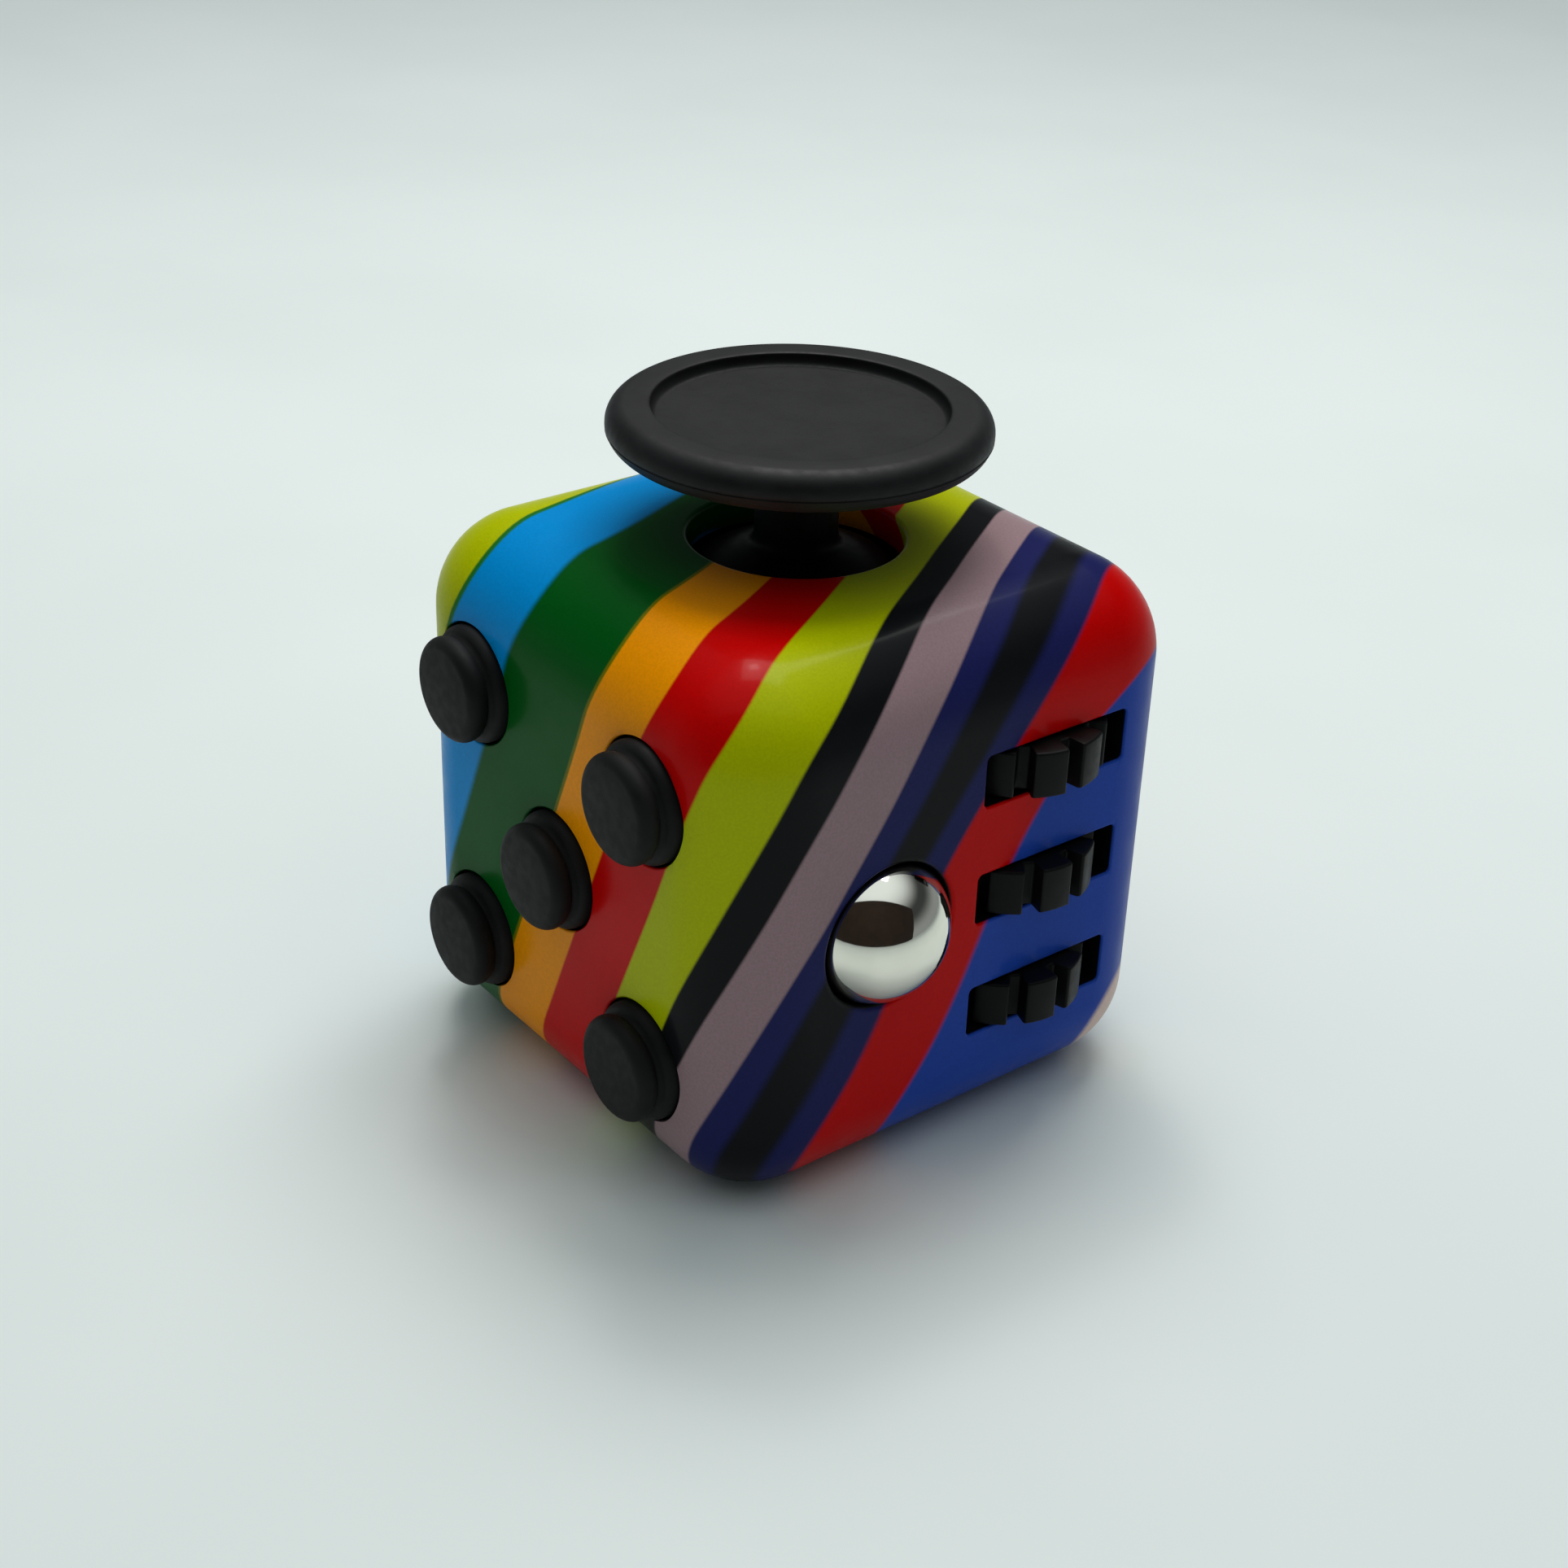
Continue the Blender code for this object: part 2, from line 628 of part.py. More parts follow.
# ---- roll side: ball ----
def make_ball():
    place = at(BALL_X, BALL_Y, MID_Z, TO_ROLL)
    ball = ball_shape("ball", BALL_R, at(BALL_X, BALL_Y, MID_Z), PARTS, polished_steel(), rings=12, sides=22)
    smooth(ball, 60)
    cup_r = 4.0
    rim = -math.sqrt(BALL_SEAT_R ** 2 - 3.4 ** 2)
    back = -5.3
    start = math.degrees(math.atan2(rim, 3.4))
    seat = arc(BALL_SEAT_R, -90, start, 5)
    seat[0] = (0.0, -BALL_SEAT_R)
    cup = seat + [(cup_r, rim), (cup_r, back), (0.9, back), (0.8, back - 0.75), (0, back - 0.75)]
    smooth(turned("ball_cup", cup, place, PARTS, inner_plastic(), sides=20))
    coil("ball_spring", 3.1, 0.3, back - 1.3, back - 0.25, 2, place, brushed_steel())

    plate_low = 6.9
    plate_high = 7.9
    plate_mid = (plate_low + plate_high) / 2
    dome_low = plate_high + 0.1 - BALL_X
    dome_top = back - 0.75 - 0.15
    dome = arc(3.0, 90, 56, 5, (0, dome_top - 3.0)) + [(2.0, dome_low), (0, dome_low)]
    smooth(turned("ball_snap_dome", dome, place, PARTS, polished_steel(), sides=16))
    width = 8.6
    plate_size = (plate_high - plate_low, width, 11.4)
    housing = box("ball_housing", plate_size, (plate_mid, BALL_Y, MID_Z), PARTS, inner_plastic())
    for key, z in (("upper", MID_Z + 5.1), ("lower", MID_Z - 5.1)):
        join(housing, box("housing_leg_" + key, (5.6, width, 1.2), (9.7, BALL_Y, z), CUTTERS))
    join(housing, box("housing_column", (1.0, 5.0, 8.0), (plate_mid, BALL_Y, FOOT_LOW + 4.0), CUTTERS))
    foot_x = FOOT_SCREWS["ball"][0]
    foot_centre = (foot_x - 0.4, BALL_Y, (FOOT_TOP + FOOT_LOW) / 2)
    join(housing, box("housing_foot", (4.6, 5.0, FOOT_TOP - FOOT_LOW), foot_centre, CUTTERS))
    foot_hole = rod("housing_foot_hole", SCREW_R + 0.2, 3.0, 6.0, at(foot_x, BALL_Y, 0), CUTTERS, sides=12)
    cut(housing, foot_hole)
    smooth(pan_screw("ball_housing_screw", 1.1, 0.7, SCREW_R, 2.6, at(foot_x, BALL_Y, FOOT_TOP + 0.15)))


# ---- flip side ----
def rocker_outline():
    """Side view in (outward, up) from the pivot, before the tilt: dished top, round ends, narrow tail."""
    top_corner = math.degrees(math.asin(ROCKER_PROUD / ROCKER_END_R))
    half_length = ROCKER_END_R * math.cos(math.radians(top_corner))
    dip = 0.55
    dish_r = (half_length ** 2 + dip ** 2) / (2 * dip)
    reach = math.degrees(math.asin(half_length / dish_r))
    right_end = arc(ROCKER_END_R, 8, top_corner, 6)
    dish = arc(dish_r, -90 + reach, -90 - reach, 7, (0, ROCKER_PROUD - dip + dish_r))[1:-1]
    left_end = [(-x, y) for x, y in reversed(right_end)]
    tail = [(-2.4, -1.2), (-1.6, -2.6), (1.6, -2.6), (2.4, -1.2)]
    return right_end + dish + left_end + tail


def make_rocker():
    tilt = Matrix.Rotation(math.radians(-ROCKER_TILT), 4, "Y")
    # the outline's own X becomes up and its own Y becomes outward
    stand = Matrix(((0, -1, 0, 0), (0, 0, -1, 0), (1, 0, 0, 0), (0, 0, 0, 1)))
    pivot = at(ROCKER_PIVOT_X, 0, MID_Z)
    place = pivot @ tilt @ stand
    rocker = outline("rocker", rocker_outline(), ROCKER_WIDTH, place, PARTS, satin_black())
    across = pivot @ TO_CLICK
    cut(rocker, rod("rocker_bore", ROCKER_PIN_R + 0.08, -4, 4, across, CUTTERS))
    inward = pivot @ tilt @ TO_ROLL
    cut(rocker, rod("plunger_bore", 0.95, 1.3, 4.0, inward, CUTTERS, sides=16))
    smooth(rocker, 25)
    tip_r = 3.9
    plunger = [(0, tip_r), (0.45, tip_r - 0.12), (0.75, tip_r - 0.5), (0.75, 2.35), (0, 2.35)]
    smooth(turned("rocker_plunger", plunger, inward, PARTS, polished_steel(), sides=12))
    coil("rocker_plunger_spring", 0.55, 0.18, 1.5, 2.15, 2, inward, brushed_steel())
    pin_half = ROCKER_WIDTH / 2 + 1.5
    smooth(rod("rocker_pin", ROCKER_PIN_R, -pin_half, pin_half, across, PARTS, brushed_steel()))

    cheek_y = ROCKER_WIDTH / 2 + 0.3 + 0.6
    wall_x = -INNER + GAP
    back_x = ROCKER_PIVOT_X + 5.4
    back_size = (1.2, 2 * cheek_y + 1.2, 8.0)
    frame = box("rocker_frame", back_size, (back_x - 0.6, 0, MID_Z), PARTS, inner_plastic())
    for side in (-1, 1):
        cheek_centre = ((back_x + wall_x) / 2, side * cheek_y, MID_Z)
        join(frame, box(f"frame_cheek_{side}", (back_x - wall_x, 1.2, 8.0), cheek_centre, CUTTERS))
        ear_centre = (wall_x + 0.6, side * (cheek_y + 1.9), MID_Z)
        join(frame, box(f"frame_ear_{side}", (1.2, 3.2, 5.0), ear_centre, CUTTERS))
    cut(frame, rod("frame_pin_hole", ROCKER_PIN_R + 0.05, -6, 6, across, CUTTERS))
    cut(frame, rod("frame_cam", tip_r + 0.12, -1.4, 1.4, across, CUTTERS, sides=48))
    for side, key in ((-1, "front"), (1, "rear")):
        place = at(wall_x + 1.2 + 0.15, side * ROCKER_SCREW_Y, MID_Z, TO_ROLL)
        hole = at(0, side * ROCKER_SCREW_Y, MID_Z, TO_ROLL)
        cut(frame, rod(f"frame_hole_{side}", SCREW_R + 0.2, -16, -11, hole, CUTTERS, sides=12))
        smooth(pan_screw("rocker_frame_screw_" + key, 0.95, 0.7, SCREW_R, 2.2, place))


# ---- dial side ----
def make_dial():
    place = at(0, HALF, MID_Z, TO_DIAL)
    base = -DIAL_RECESS + GAP
    edge = 0.6
    retainer_top = -(HALF - 13.55)
    hub_end = retainer_top + 0.15
    rim = arc(edge, 90, 0, 4, (DIAL_R - edge, DIAL_PROUD - edge))
    under = [(DIAL_R, base + 0.2), (DIAL_R - 0.2, base), (DIAL_HUB_R, base)]
    hub = [(DIAL_HUB_R, hub_end), (0, hub_end)]
    profile = [(0, DIAL_PROUD)] + rim + under + hub
    dial = turned("dial", profile, place, PARTS, satin_black(), sides=32)
    dimple_place = place @ Matrix.Translation((0, -4.7 * MM, (DIAL_PROUD + 2.3) * MM))
    cut(dial, ball_shape("dial_dimple", 3.4, dimple_place, CUTTERS))
    cut(dial, rod("dial_pilot", PILOT_R, hub_end - 1.0, hub_end + 2.9, place, CUTTERS, sides=12))
    smooth(dial)
    back = retainer_top - 0.8
    ring = [(4.6, retainer_top), (4.6, back), (0.7, back), (0.7, retainer_top)]
    smooth(turned("dial_retainer", ring, place, PARTS, inner_plastic(), sides=18, closed=True))
    washer_top = -WALL - 0.15
    washer = [(4.3, washer_top), (4.3, washer_top - 0.3), (3.2, washer_top - 0.3), (3.2, washer_top)]
    smooth(turned("dial_wave_washer", washer, place, PARTS, brushed_steel(), sides=18, closed=True))
    smooth(pan_screw("dial_screw", 1.3, 0.8, SCREW_R, 3.2, at(0, HALF + back - 0.15, MID_Z, TO_CLICK)))


make_shell()
make_base_cover()
make_core_post()
make_stick()
make_click_side()
make_gears()
make_ball()
make_rocker()
make_dial()
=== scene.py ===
"""Looks of the fidget cube: printed casing, soft buttons, glide stick, wheels, ball, rocker and dial.

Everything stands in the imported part's own frame: metres, +Z up, the origin under the middle of the cube.
Shapes are worked out in millimetres as numpy arrays, and become metres when they are made into meshes.
"""

import json
import logging
import math
from collections.abc import Iterator, Sequence
from dataclasses import astuple, dataclass
from enum import Enum

import bmesh
import bpy
import numpy as np
from mathutils import Matrix, Vector


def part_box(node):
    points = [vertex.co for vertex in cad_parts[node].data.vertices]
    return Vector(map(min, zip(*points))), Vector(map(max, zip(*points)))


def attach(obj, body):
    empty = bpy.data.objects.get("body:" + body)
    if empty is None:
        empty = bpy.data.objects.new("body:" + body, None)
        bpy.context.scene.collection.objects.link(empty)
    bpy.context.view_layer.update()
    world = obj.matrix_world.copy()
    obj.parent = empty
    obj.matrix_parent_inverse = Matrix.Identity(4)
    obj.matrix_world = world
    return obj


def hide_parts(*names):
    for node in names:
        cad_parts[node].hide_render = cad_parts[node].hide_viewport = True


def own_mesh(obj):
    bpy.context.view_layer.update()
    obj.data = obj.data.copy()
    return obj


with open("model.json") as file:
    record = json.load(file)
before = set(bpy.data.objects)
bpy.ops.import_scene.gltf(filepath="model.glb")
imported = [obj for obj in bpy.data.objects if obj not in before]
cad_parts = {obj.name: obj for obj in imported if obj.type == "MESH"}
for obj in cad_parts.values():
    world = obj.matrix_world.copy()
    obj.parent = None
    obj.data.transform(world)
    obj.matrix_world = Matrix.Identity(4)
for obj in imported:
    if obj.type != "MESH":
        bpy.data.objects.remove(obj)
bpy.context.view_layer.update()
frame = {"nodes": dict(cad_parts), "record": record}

MM = 0.001
LOG = logging.getLogger("fidget_cube")
Color = tuple[float, float, float]
Point = tuple[float, float, float]


# ---- places in the frame ----
class Side(Enum):
    """A side of the cube, as three unit rows: two across the side, and the one that points out of it."""

    TOP = ((1, 0, 0), (0, 1, 0), (0, 0, 1))
    CLICK = ((1, 0, 0), (0, 0, 1), (0, -1, 0))
    DIAL = ((-1, 0, 0), (0, 0, 1), (0, 1, 0))
    ROLL = ((0, 1, 0), (0, 0, 1), (1, 0, 0))
    FLIP = ((0, -1, 0), (0, 0, 1), (-1, 0, 0))
    BASE = ((1, 0, 0), (0, -1, 0), (0, 0, -1))

    @property
    def axes(self) -> np.ndarray:
        """The side's three rows as a matrix."""
        return np.array(self.value, float)


def cad_box(node: str) -> tuple[np.ndarray, np.ndarray]:
    """Find where a CAD node is.

    Args:
        node: the node's name.

    Returns:
        Its lowest and its highest corner, in millimetres.
    """
    low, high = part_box(node)
    return np.array(low) / MM, np.array(high) / MM


def cad_middle(node: str) -> np.ndarray:
    """The middle of a CAD node's box, in millimetres."""
    low, high = cad_box(node)
    return (low + high) / 2


def body_with(node: str) -> str:
    """The name of the CAD body that a node belongs to."""
    bodies = frame["record"]["behaviour"]["bodies"]
    return next(body for body, members in bodies.items() if node in members)


SHELL_LOW, SHELL_HIGH = cad_box("shell")
HALF = float(SHELL_HIGH[0] - SHELL_LOW[0]) / 2
MID_Z = HALF
CENTRE = np.array((0.0, 0.0, MID_Z))
EDGE_RADIUS = 5.8
WALL = 1.8
SKIN_TOLERANCE = 0.004
SHARP = 0.0001


# ---- surfaces ----
@dataclass
class Surface:
    """A closed surface in millimetres: its points, and its faces as rows of point numbers."""

    points: np.ndarray
    quads: np.ndarray
    triangles: np.ndarray

    def placed(self, origin: Sequence[float], axes: np.ndarray) -> "Surface":
        """Set the surface in the frame: each point becomes the origin plus its coordinates times the axes.

        Args:
            origin: where the surface's own zero goes.
            axes: three rows, the directions of its own X, Y and Z.

        Returns:
            The surface in its place.
        """
        return Surface(np.asarray(origin) + self.points @ axes, self.quads, self.triangles)

    def beside(self, *others: "Surface") -> "Surface":
        """One surface that holds this one and others that don't touch it."""
        points, quads, triangles = [self.points], [self.quads], [self.triangles]
        count = len(self.points)
        for other in others:
            points.append(other.points)
            quads.append(other.quads + count)
            triangles.append(other.triangles + count)
            count += len(other.points)
        return Surface(np.concatenate(points), np.concatenate(quads), np.concatenate(triangles))

    def as_object(self, name: str) -> bpy.types.Object:
        """Make the surface a mesh object at the origin, in metres."""
        mesh = bpy.data.meshes.new(name)
        faces = [tuple(face) for face in self.quads.tolist() + self.triangles.tolist()]
        mesh.from_pydata((self.points * MM).tolist(), [], faces)
        mesh.validate()
        obj = bpy.data.objects.new(name, mesh)
        bpy.context.scene.collection.objects.link(obj)
        return obj


NO_TRIANGLES = np.empty((0, 3), int)


def grid_quads(rows: int, columns: int, looped: bool) -> np.ndarray:
    """Faces of a grid whose columns close on themselves.

    A quad runs down a row and then along a column, so that rows which go down the outside of a form and
    columns which go round it the left-hand way as seen from its end give faces that point outwards.

    Args:
        rows: how many rings of points there are.
        columns: how many points a ring has.
        looped: whether the last ring joins the first one.

    Returns:
        The quads, as rows of four point numbers.
    """
    row, column = np.meshgrid(np.arange(rows if looped else rows - 1), np.arange(columns), indexing="ij")
    below = (row + 1) % rows
    beside = (column + 1) % columns
    corners = (
        row * columns + column,
        below * columns + column,
        below * columns + beside,
        row * columns + beside,
    )
    return np.stack(corners, axis=-1).reshape(-1, 4)


def capped(rings: np.ndarray, top: Sequence[float], bottom: Sequence[float]) -> Surface:
    """Close a stack of rings with a fan to one point at each end.

    Args:
        rings: points as rows, columns and coordinates, from the top down.
        top: the point above the first ring.
        bottom: the point below the last ring.

    Returns:
        The closed surface.
    """
    rows, columns = rings.shape[:2]
    points = np.concatenate([rings.reshape(-1, 3), np.array([top, bottom], float)])
    here = np.arange(columns)
    beside = (here + 1) % columns
    last = (rows - 1) * columns
    top_fan = np.stack([np.full(columns, rows * columns), here, beside], axis=-1)
    bottom_fan = np.stack([last + here, np.full(columns, rows * columns + 1), last + beside], axis=-1)
    return Surface(points, grid_quads(rows, columns, False), np.concatenate([top_fan, bottom_fan]))


def turned(profile: np.ndarray, sides: int = 96) -> Surface:
    """Turn a profile about the form's own +Z: a point is (r cos a, r sin a, h).

    Args:
        profile: (radius, height) rows that run down the outer side, from the axis and back to it.  One
            that starts off the axis is a ring and joins its own start.
        sides: how many points there are around the axis.

    Returns:
        The turned surface.
    """
    angle = np.linspace(0, 2 * math.pi, sides, endpoint=False)
    looped = bool(profile[0, 0] > 1e-6)
    rows = profile if looped else profile[1:-1]
    radius, height = rows[:, :1], rows[:, 1:]
    rings = np.stack(
        [radius * np.cos(angle), radius * np.sin(angle), np.broadcast_to(height, (len(rows), sides))], axis=-1
    )
    if looped:
        return Surface(rings.reshape(-1, 3), grid_quads(len(rows), sides, True), NO_TRIANGLES)
    return capped(rings, (0, 0, profile[0, 1]), (0, 0, profile[-1, 1]))


def arc(centre: Sequence[float], radius: float, start: float, stop: float, steps: int) -> np.ndarray:
    """Points on an arc: the centre plus the radius times (cos, sin) of angles that are equally spaced.

    Args:
        centre: the arc's centre.
        radius: its radius.
        start: the first angle, in degrees.
        stop: the last angle, in degrees.
        steps: how many equal steps there are between them.

    Returns:
        The points, as steps + 1 rows.
    """
    angle = np.radians(np.linspace(start, stop, steps + 1))
    return np.array(centre) + radius * np.stack([np.cos(angle), np.sin(angle)], axis=-1)


def profile_of(*stretches: Sequence[Sequence[float]] | np.ndarray) -> np.ndarray:
    """Join points and arcs into one profile."""
    return np.concatenate([np.atleast_2d(np.asarray(stretch, float)) for stretch in stretches])


def rounded_oblong(half_wide: float, half_high: float, corner: float, steps: int = 8) -> np.ndarray:
    """Outline of an oblong with round corners: four quarter arcs, one about each inner corner point.

    Args:
        half_wide: half its size across.
        half_high: half its size up.
        corner: the radius of its corners.
        steps: how many steps a quarter arc has.

    Returns:
        The outline, going round the left-hand way.
    """
    inner = np.array((half_wide - corner, half_high - corner))
    signs = ((1, 1), (-1, 1), (-1, -1), (1, -1))
    quarters = [
        arc(inner * sign, corner, 90 * number, 90 * (number + 1), steps) for number, sign in enumerate(signs)
    ]
    return np.concatenate(quarters)


def rounded_lip(lip: float, steps: int = 5) -> np.ndarray:
    """How far an opening widens towards its face: a quarter circle that meets the face and the wall.

    Args:
        lip: the radius of the rounding.
        steps: how many steps it has.

    Returns:
        (widening, height) rows from the face down.
    """
    return arc((lip, -lip), lip, 90, 180, steps)


def oblong_pocket(half_wide: float, half_high: float, corner: float, lip: float, depth: float) -> Surface:
    """Cutter for an oblong opening with a rounded lip, out of the face z = 0.

    Each ring is the rounded oblong, grown all round by the lip's widening at that height.

    Args:
        half_wide: half the opening's size across.
        half_high: half its size up.
        corner: the radius of its corners.
        lip: the radius of the rounding where it meets the face.
        depth: how deep it goes.

    Returns:
        The cutter.
    """
    above = 1.0
    stations = profile_of([(lip, above)], rounded_lip(lip), [(0.0, -depth)])
    rings = []
    for widening, height in stations:
        ring = rounded_oblong(half_wide + widening, half_high + widening, corner + widening)
        rings.append(np.column_stack([ring, np.full(len(ring), height)]))
    return capped(np.array(rings), (0, 0, above), (0, 0, -depth))


def round_pocket(radius: float, lip: float, depth: float, sides: int = 96) -> Surface:
    """Cutter for a round opening with a rounded lip, out of the face z = 0.

    Args:
        radius: the opening's radius.
        lip: the radius of the rounding where it meets the face.
        depth: how deep it goes.
        sides: how many points it has around its axis.

    Returns:
        The cutter.
    """
    above = 1.0
    wall = rounded_lip(lip) + (radius, 0)
    return turned(
        profile_of([(0, above), (radius + lip, above)], wall, [(radius, -depth), (0, -depth)]), sides
    )


def rounded_cube(half: float, radius: float, arc_steps: int, flat_steps: int) -> Surface:
    """A cube with every edge and corner round, about the middle of the casing.

    Each side is a grid of points q on the sharp cube.  With c the point of the smaller cube of half size
    (half - radius) that is nearest to q, the surface's point is c plus the radius along the direction from
    c to q.  On the rounding, the grid's lines stand at radius times the tangent of equal angles.

    Args:
        half: half the cube's size.
        radius: the radius of the rounding.
        arc_steps: steps over half of a rounding.
        flat_steps: steps over the flat part of a side.

    Returns:
        The cube, with the points that sides share welded.
    """
    core = half - radius
    rounding = core + radius * np.tan(np.linspace(0, math.pi / 4, arc_steps + 1)[1:])
    line = np.concatenate([-rounding[::-1], np.linspace(-core, core, flat_steps + 1), rounding])
    count = len(line)
    across, up = np.meshgrid(line, line, indexing="ij")
    sharp = np.concatenate(
        [np.stack([across, up, np.full_like(up, half)], axis=-1).reshape(-1, 3) @ side.axes for side in Side]
    )
    inner = np.clip(sharp, -core, core)
    outward = sharp - inner
    points = inner + radius * outward / np.linalg.norm(outward, axis=1, keepdims=True)
    row, column = np.meshgrid(np.arange(count - 1), np.arange(count - 1), indexing="ij")
    corner = (row * count + column).ravel()
    one_side = np.stack([corner, corner + count, corner + count + 1, corner + 1], axis=-1)
    quads = np.concatenate([one_side + side * count * count for side in range(len(Side))])
    welded, number = np.unique(np.round(points, 6), axis=0, return_inverse=True)
    return Surface(welded + CENTRE, number.reshape(-1)[quads], NO_TRIANGLES)


def bored_plate(outline: np.ndarray, bore: float, thickness: float, rounding: float) -> Surface:
    """A thick plate with a round bore in its middle and rounded edges, lying flat about its own origin.

    A point lies on the ray from the middle to a point of the outline, at the bore's radius plus a share of
    the way to the outline.  The stations go out over the top, down the edge, in under the bottom and up
    the bore; over the rounding, the edge is drawn in by a quarter circle.

    Args:
        outline: (x, y) rows that can all be seen from the middle.
        bore: the bore's radius.
        thickness: the plate's thickness.
        rounding: the radius of its outer edges.

    Returns:
        The closed ring.
    """
    half = thickness / 2
    lip = rounded_lip(rounding, 4)
    upper = np.column_stack([np.ones(len(lip)), lip[:, 0], half + lip[:, 1]])
    lower = upper[::-1] * (1, 1, -1)
    inner = np.array([(0, 0, half), (0.5, rounding, half)])
    stations = np.concatenate([inner, upper, lower, inner[::-1] * (1, 1, -1)])
    reach = np.linalg.norm(outline, axis=1)
    share, drawn_in, height = stations.T[:, :, None]
    radius = bore + share * (reach - drawn_in - bore)
    rings = np.stack(
        [
            radius * outline[:, 0] / reach,
            radius * outline[:, 1] / reach,
            np.broadcast_to(height, (len(stations), len(outline))),
        ],
        axis=-1,
    )
    return Surface(rings.reshape(-1, 3), grid_quads(len(stations), len(outline), True), NO_TRIANGLES)


def bent_corner(
    before: Sequence[float], corner: Sequence[float], after: Sequence[float], steps: int
) -> np.ndarray:
    """Round a corner: the curve (1 - t)^2 before + 2 t (1 - t) corner + t^2 after.

    Args:
        before: where the curve leaves the first side.
        corner: the sharp corner.
        after: where it joins the second side.
        steps: how many steps it has.

    Returns:
        The curve's points.
    """
    t = np.linspace(0, 1, steps + 1)[:, None]
    return (1 - t) ** 2 * np.array(before) + 2 * t * (1 - t) * np.array(corner) + t**2 * np.array(after)


def sheet(half_wide: float, half_high: float) -> Surface:
    """A flat oblong about its own origin, which faces up."""
    corners = np.array([(-1, -1, 0), (1, -1, 0), (1, 1, 0), (-1, 1, 0)]) * (half_wide, half_high, 1)
    return Surface(corners, np.array([(0, 1, 2, 3)]), NO_TRIANGLES)


# ---- mesh work ----
class Work(Enum):
    """What a tool does to a piece."""

    CUT = "DIFFERENCE"
    JOIN = "UNION"
    KEEP = "INTERSECT"


def worked(piece: bpy.types.Object, tool: Surface, work: Work) -> bpy.types.Object:
    """Cut a piece with a closed surface, join the two, or keep only what they share.

    Args:
        piece: the piece, whose mesh is replaced.
        tool: the closed surface.
        work: what the tool does.

    Returns:
        The piece.
    """
    helper = tool.as_object(piece.name + "_tool")
    change = piece.modifiers.new("work", "BOOLEAN")
    change.operation = work.value
    change.solver = "EXACT"
    change.object = helper
    bpy.context.view_layer.update()
    before = piece.data
    piece.data = bpy.data.meshes.new_from_object(piece.evaluated_get(bpy.context.evaluated_depsgraph_get()))
    piece.modifiers.clear()
    piece.data.name = before.name
    bpy.data.meshes.remove(before)
    helper_mesh = helper.data
    bpy.data.objects.remove(helper)
    bpy.data.meshes.remove(helper_mesh)
    return piece


def shaded(piece: bpy.types.Object, sharp_from: float = 40.0) -> bpy.types.Object:
    """Shade a piece smooth, and keep the edges that are sharper than an angle in degrees."""
    piece.data.shade_smooth()
    piece.data.set_sharp_from_angle(angle=math.radians(sharp_from))
    return piece


def shaded_as_rounded_cube(piece: bpy.types.Object) -> bpy.types.Object:
    """Give a piece's outer skin the rounded cube's exact normals, so that its gloss runs on past each cut.

    With c the nearest point of the inner cube of half size (half - radius), the normal at p is the
    direction from c to p.  A face is skin where all its corners are one radius away from their c and it
    faces that way; every other face keeps the normals that it has.

    Args:
        piece: the shell or the cover, after its last cut.

    Returns:
        The piece.
    """
    mesh = shaded(piece).data
    core = HALF - EDGE_RADIUS
    points = np.empty(len(mesh.vertices) * 3)
    mesh.vertices.foreach_get("co", points)
    offset = points.reshape(-1, 3) / MM - CENTRE
    outward = offset - np.clip(offset, -core, core)
    distance = np.linalg.norm(outward, axis=1)
    on_skin = np.abs(distance - EDGE_RADIUS) < SKIN_TOLERANCE
    outward /= np.maximum(distance, 1e-9)[:, None]

    corner_point = np.empty(len(mesh.loops), int)
    mesh.loops.foreach_get("vertex_index", corner_point)
    start = np.empty(len(mesh.polygons), int)
    mesh.polygons.foreach_get("loop_start", start)
    face_normal = np.empty(len(mesh.polygons) * 3)
    mesh.polygons.foreach_get("normal", face_normal)
    size = np.diff(np.append(start, len(corner_point)))
    face_of = np.repeat(np.arange(len(start)), size)
    normals = np.empty(len(mesh.loops) * 3)
    mesh.corner_normals.foreach_get("vector", normals)
    normals = normals.reshape(-1, 3)

    agrees = (outward[corner_point] * face_normal.reshape(-1, 3)[face_of]).sum(axis=1) > 0.9
    skin_face = np.logical_and.reduceat(on_skin[corner_point] & agrees, start)
    use = skin_face[face_of]
    normals[use] = outward[corner_point][use]
    mesh.normals_split_custom_set(normals.tolist())
    return piece


def install(piece: bpy.types.Object, slot: str, *nodes: str) -> None:
    """Let a piece ride on its CAD body and stand for its CAD nodes.

    Args:
        piece: the finished piece.
        slot: the record's material slot; not used.
        nodes: the CAD nodes that it stands for, all of one body.
    """
    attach(piece, body_with(nodes[0]))
    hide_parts(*nodes)
    LOG.info("%s stands for %s, %d faces", piece.name, ", ".join(nodes), len(piece.data.polygons))


# ---- finishes ----
def ink(red: int, green: int, blue: int) -> Color:
    """A color given in the usual 0 to 255 steps, as linear light: (c / 255) to the power 2.2."""
    return tuple((value / 255) ** 2.2 for value in (red, green, blue))


Input = float | Sequence[float] | bpy.types.NodeSocket
RANGE_SOCKETS = ("From Min", "From Max", "To Min", "To Max")


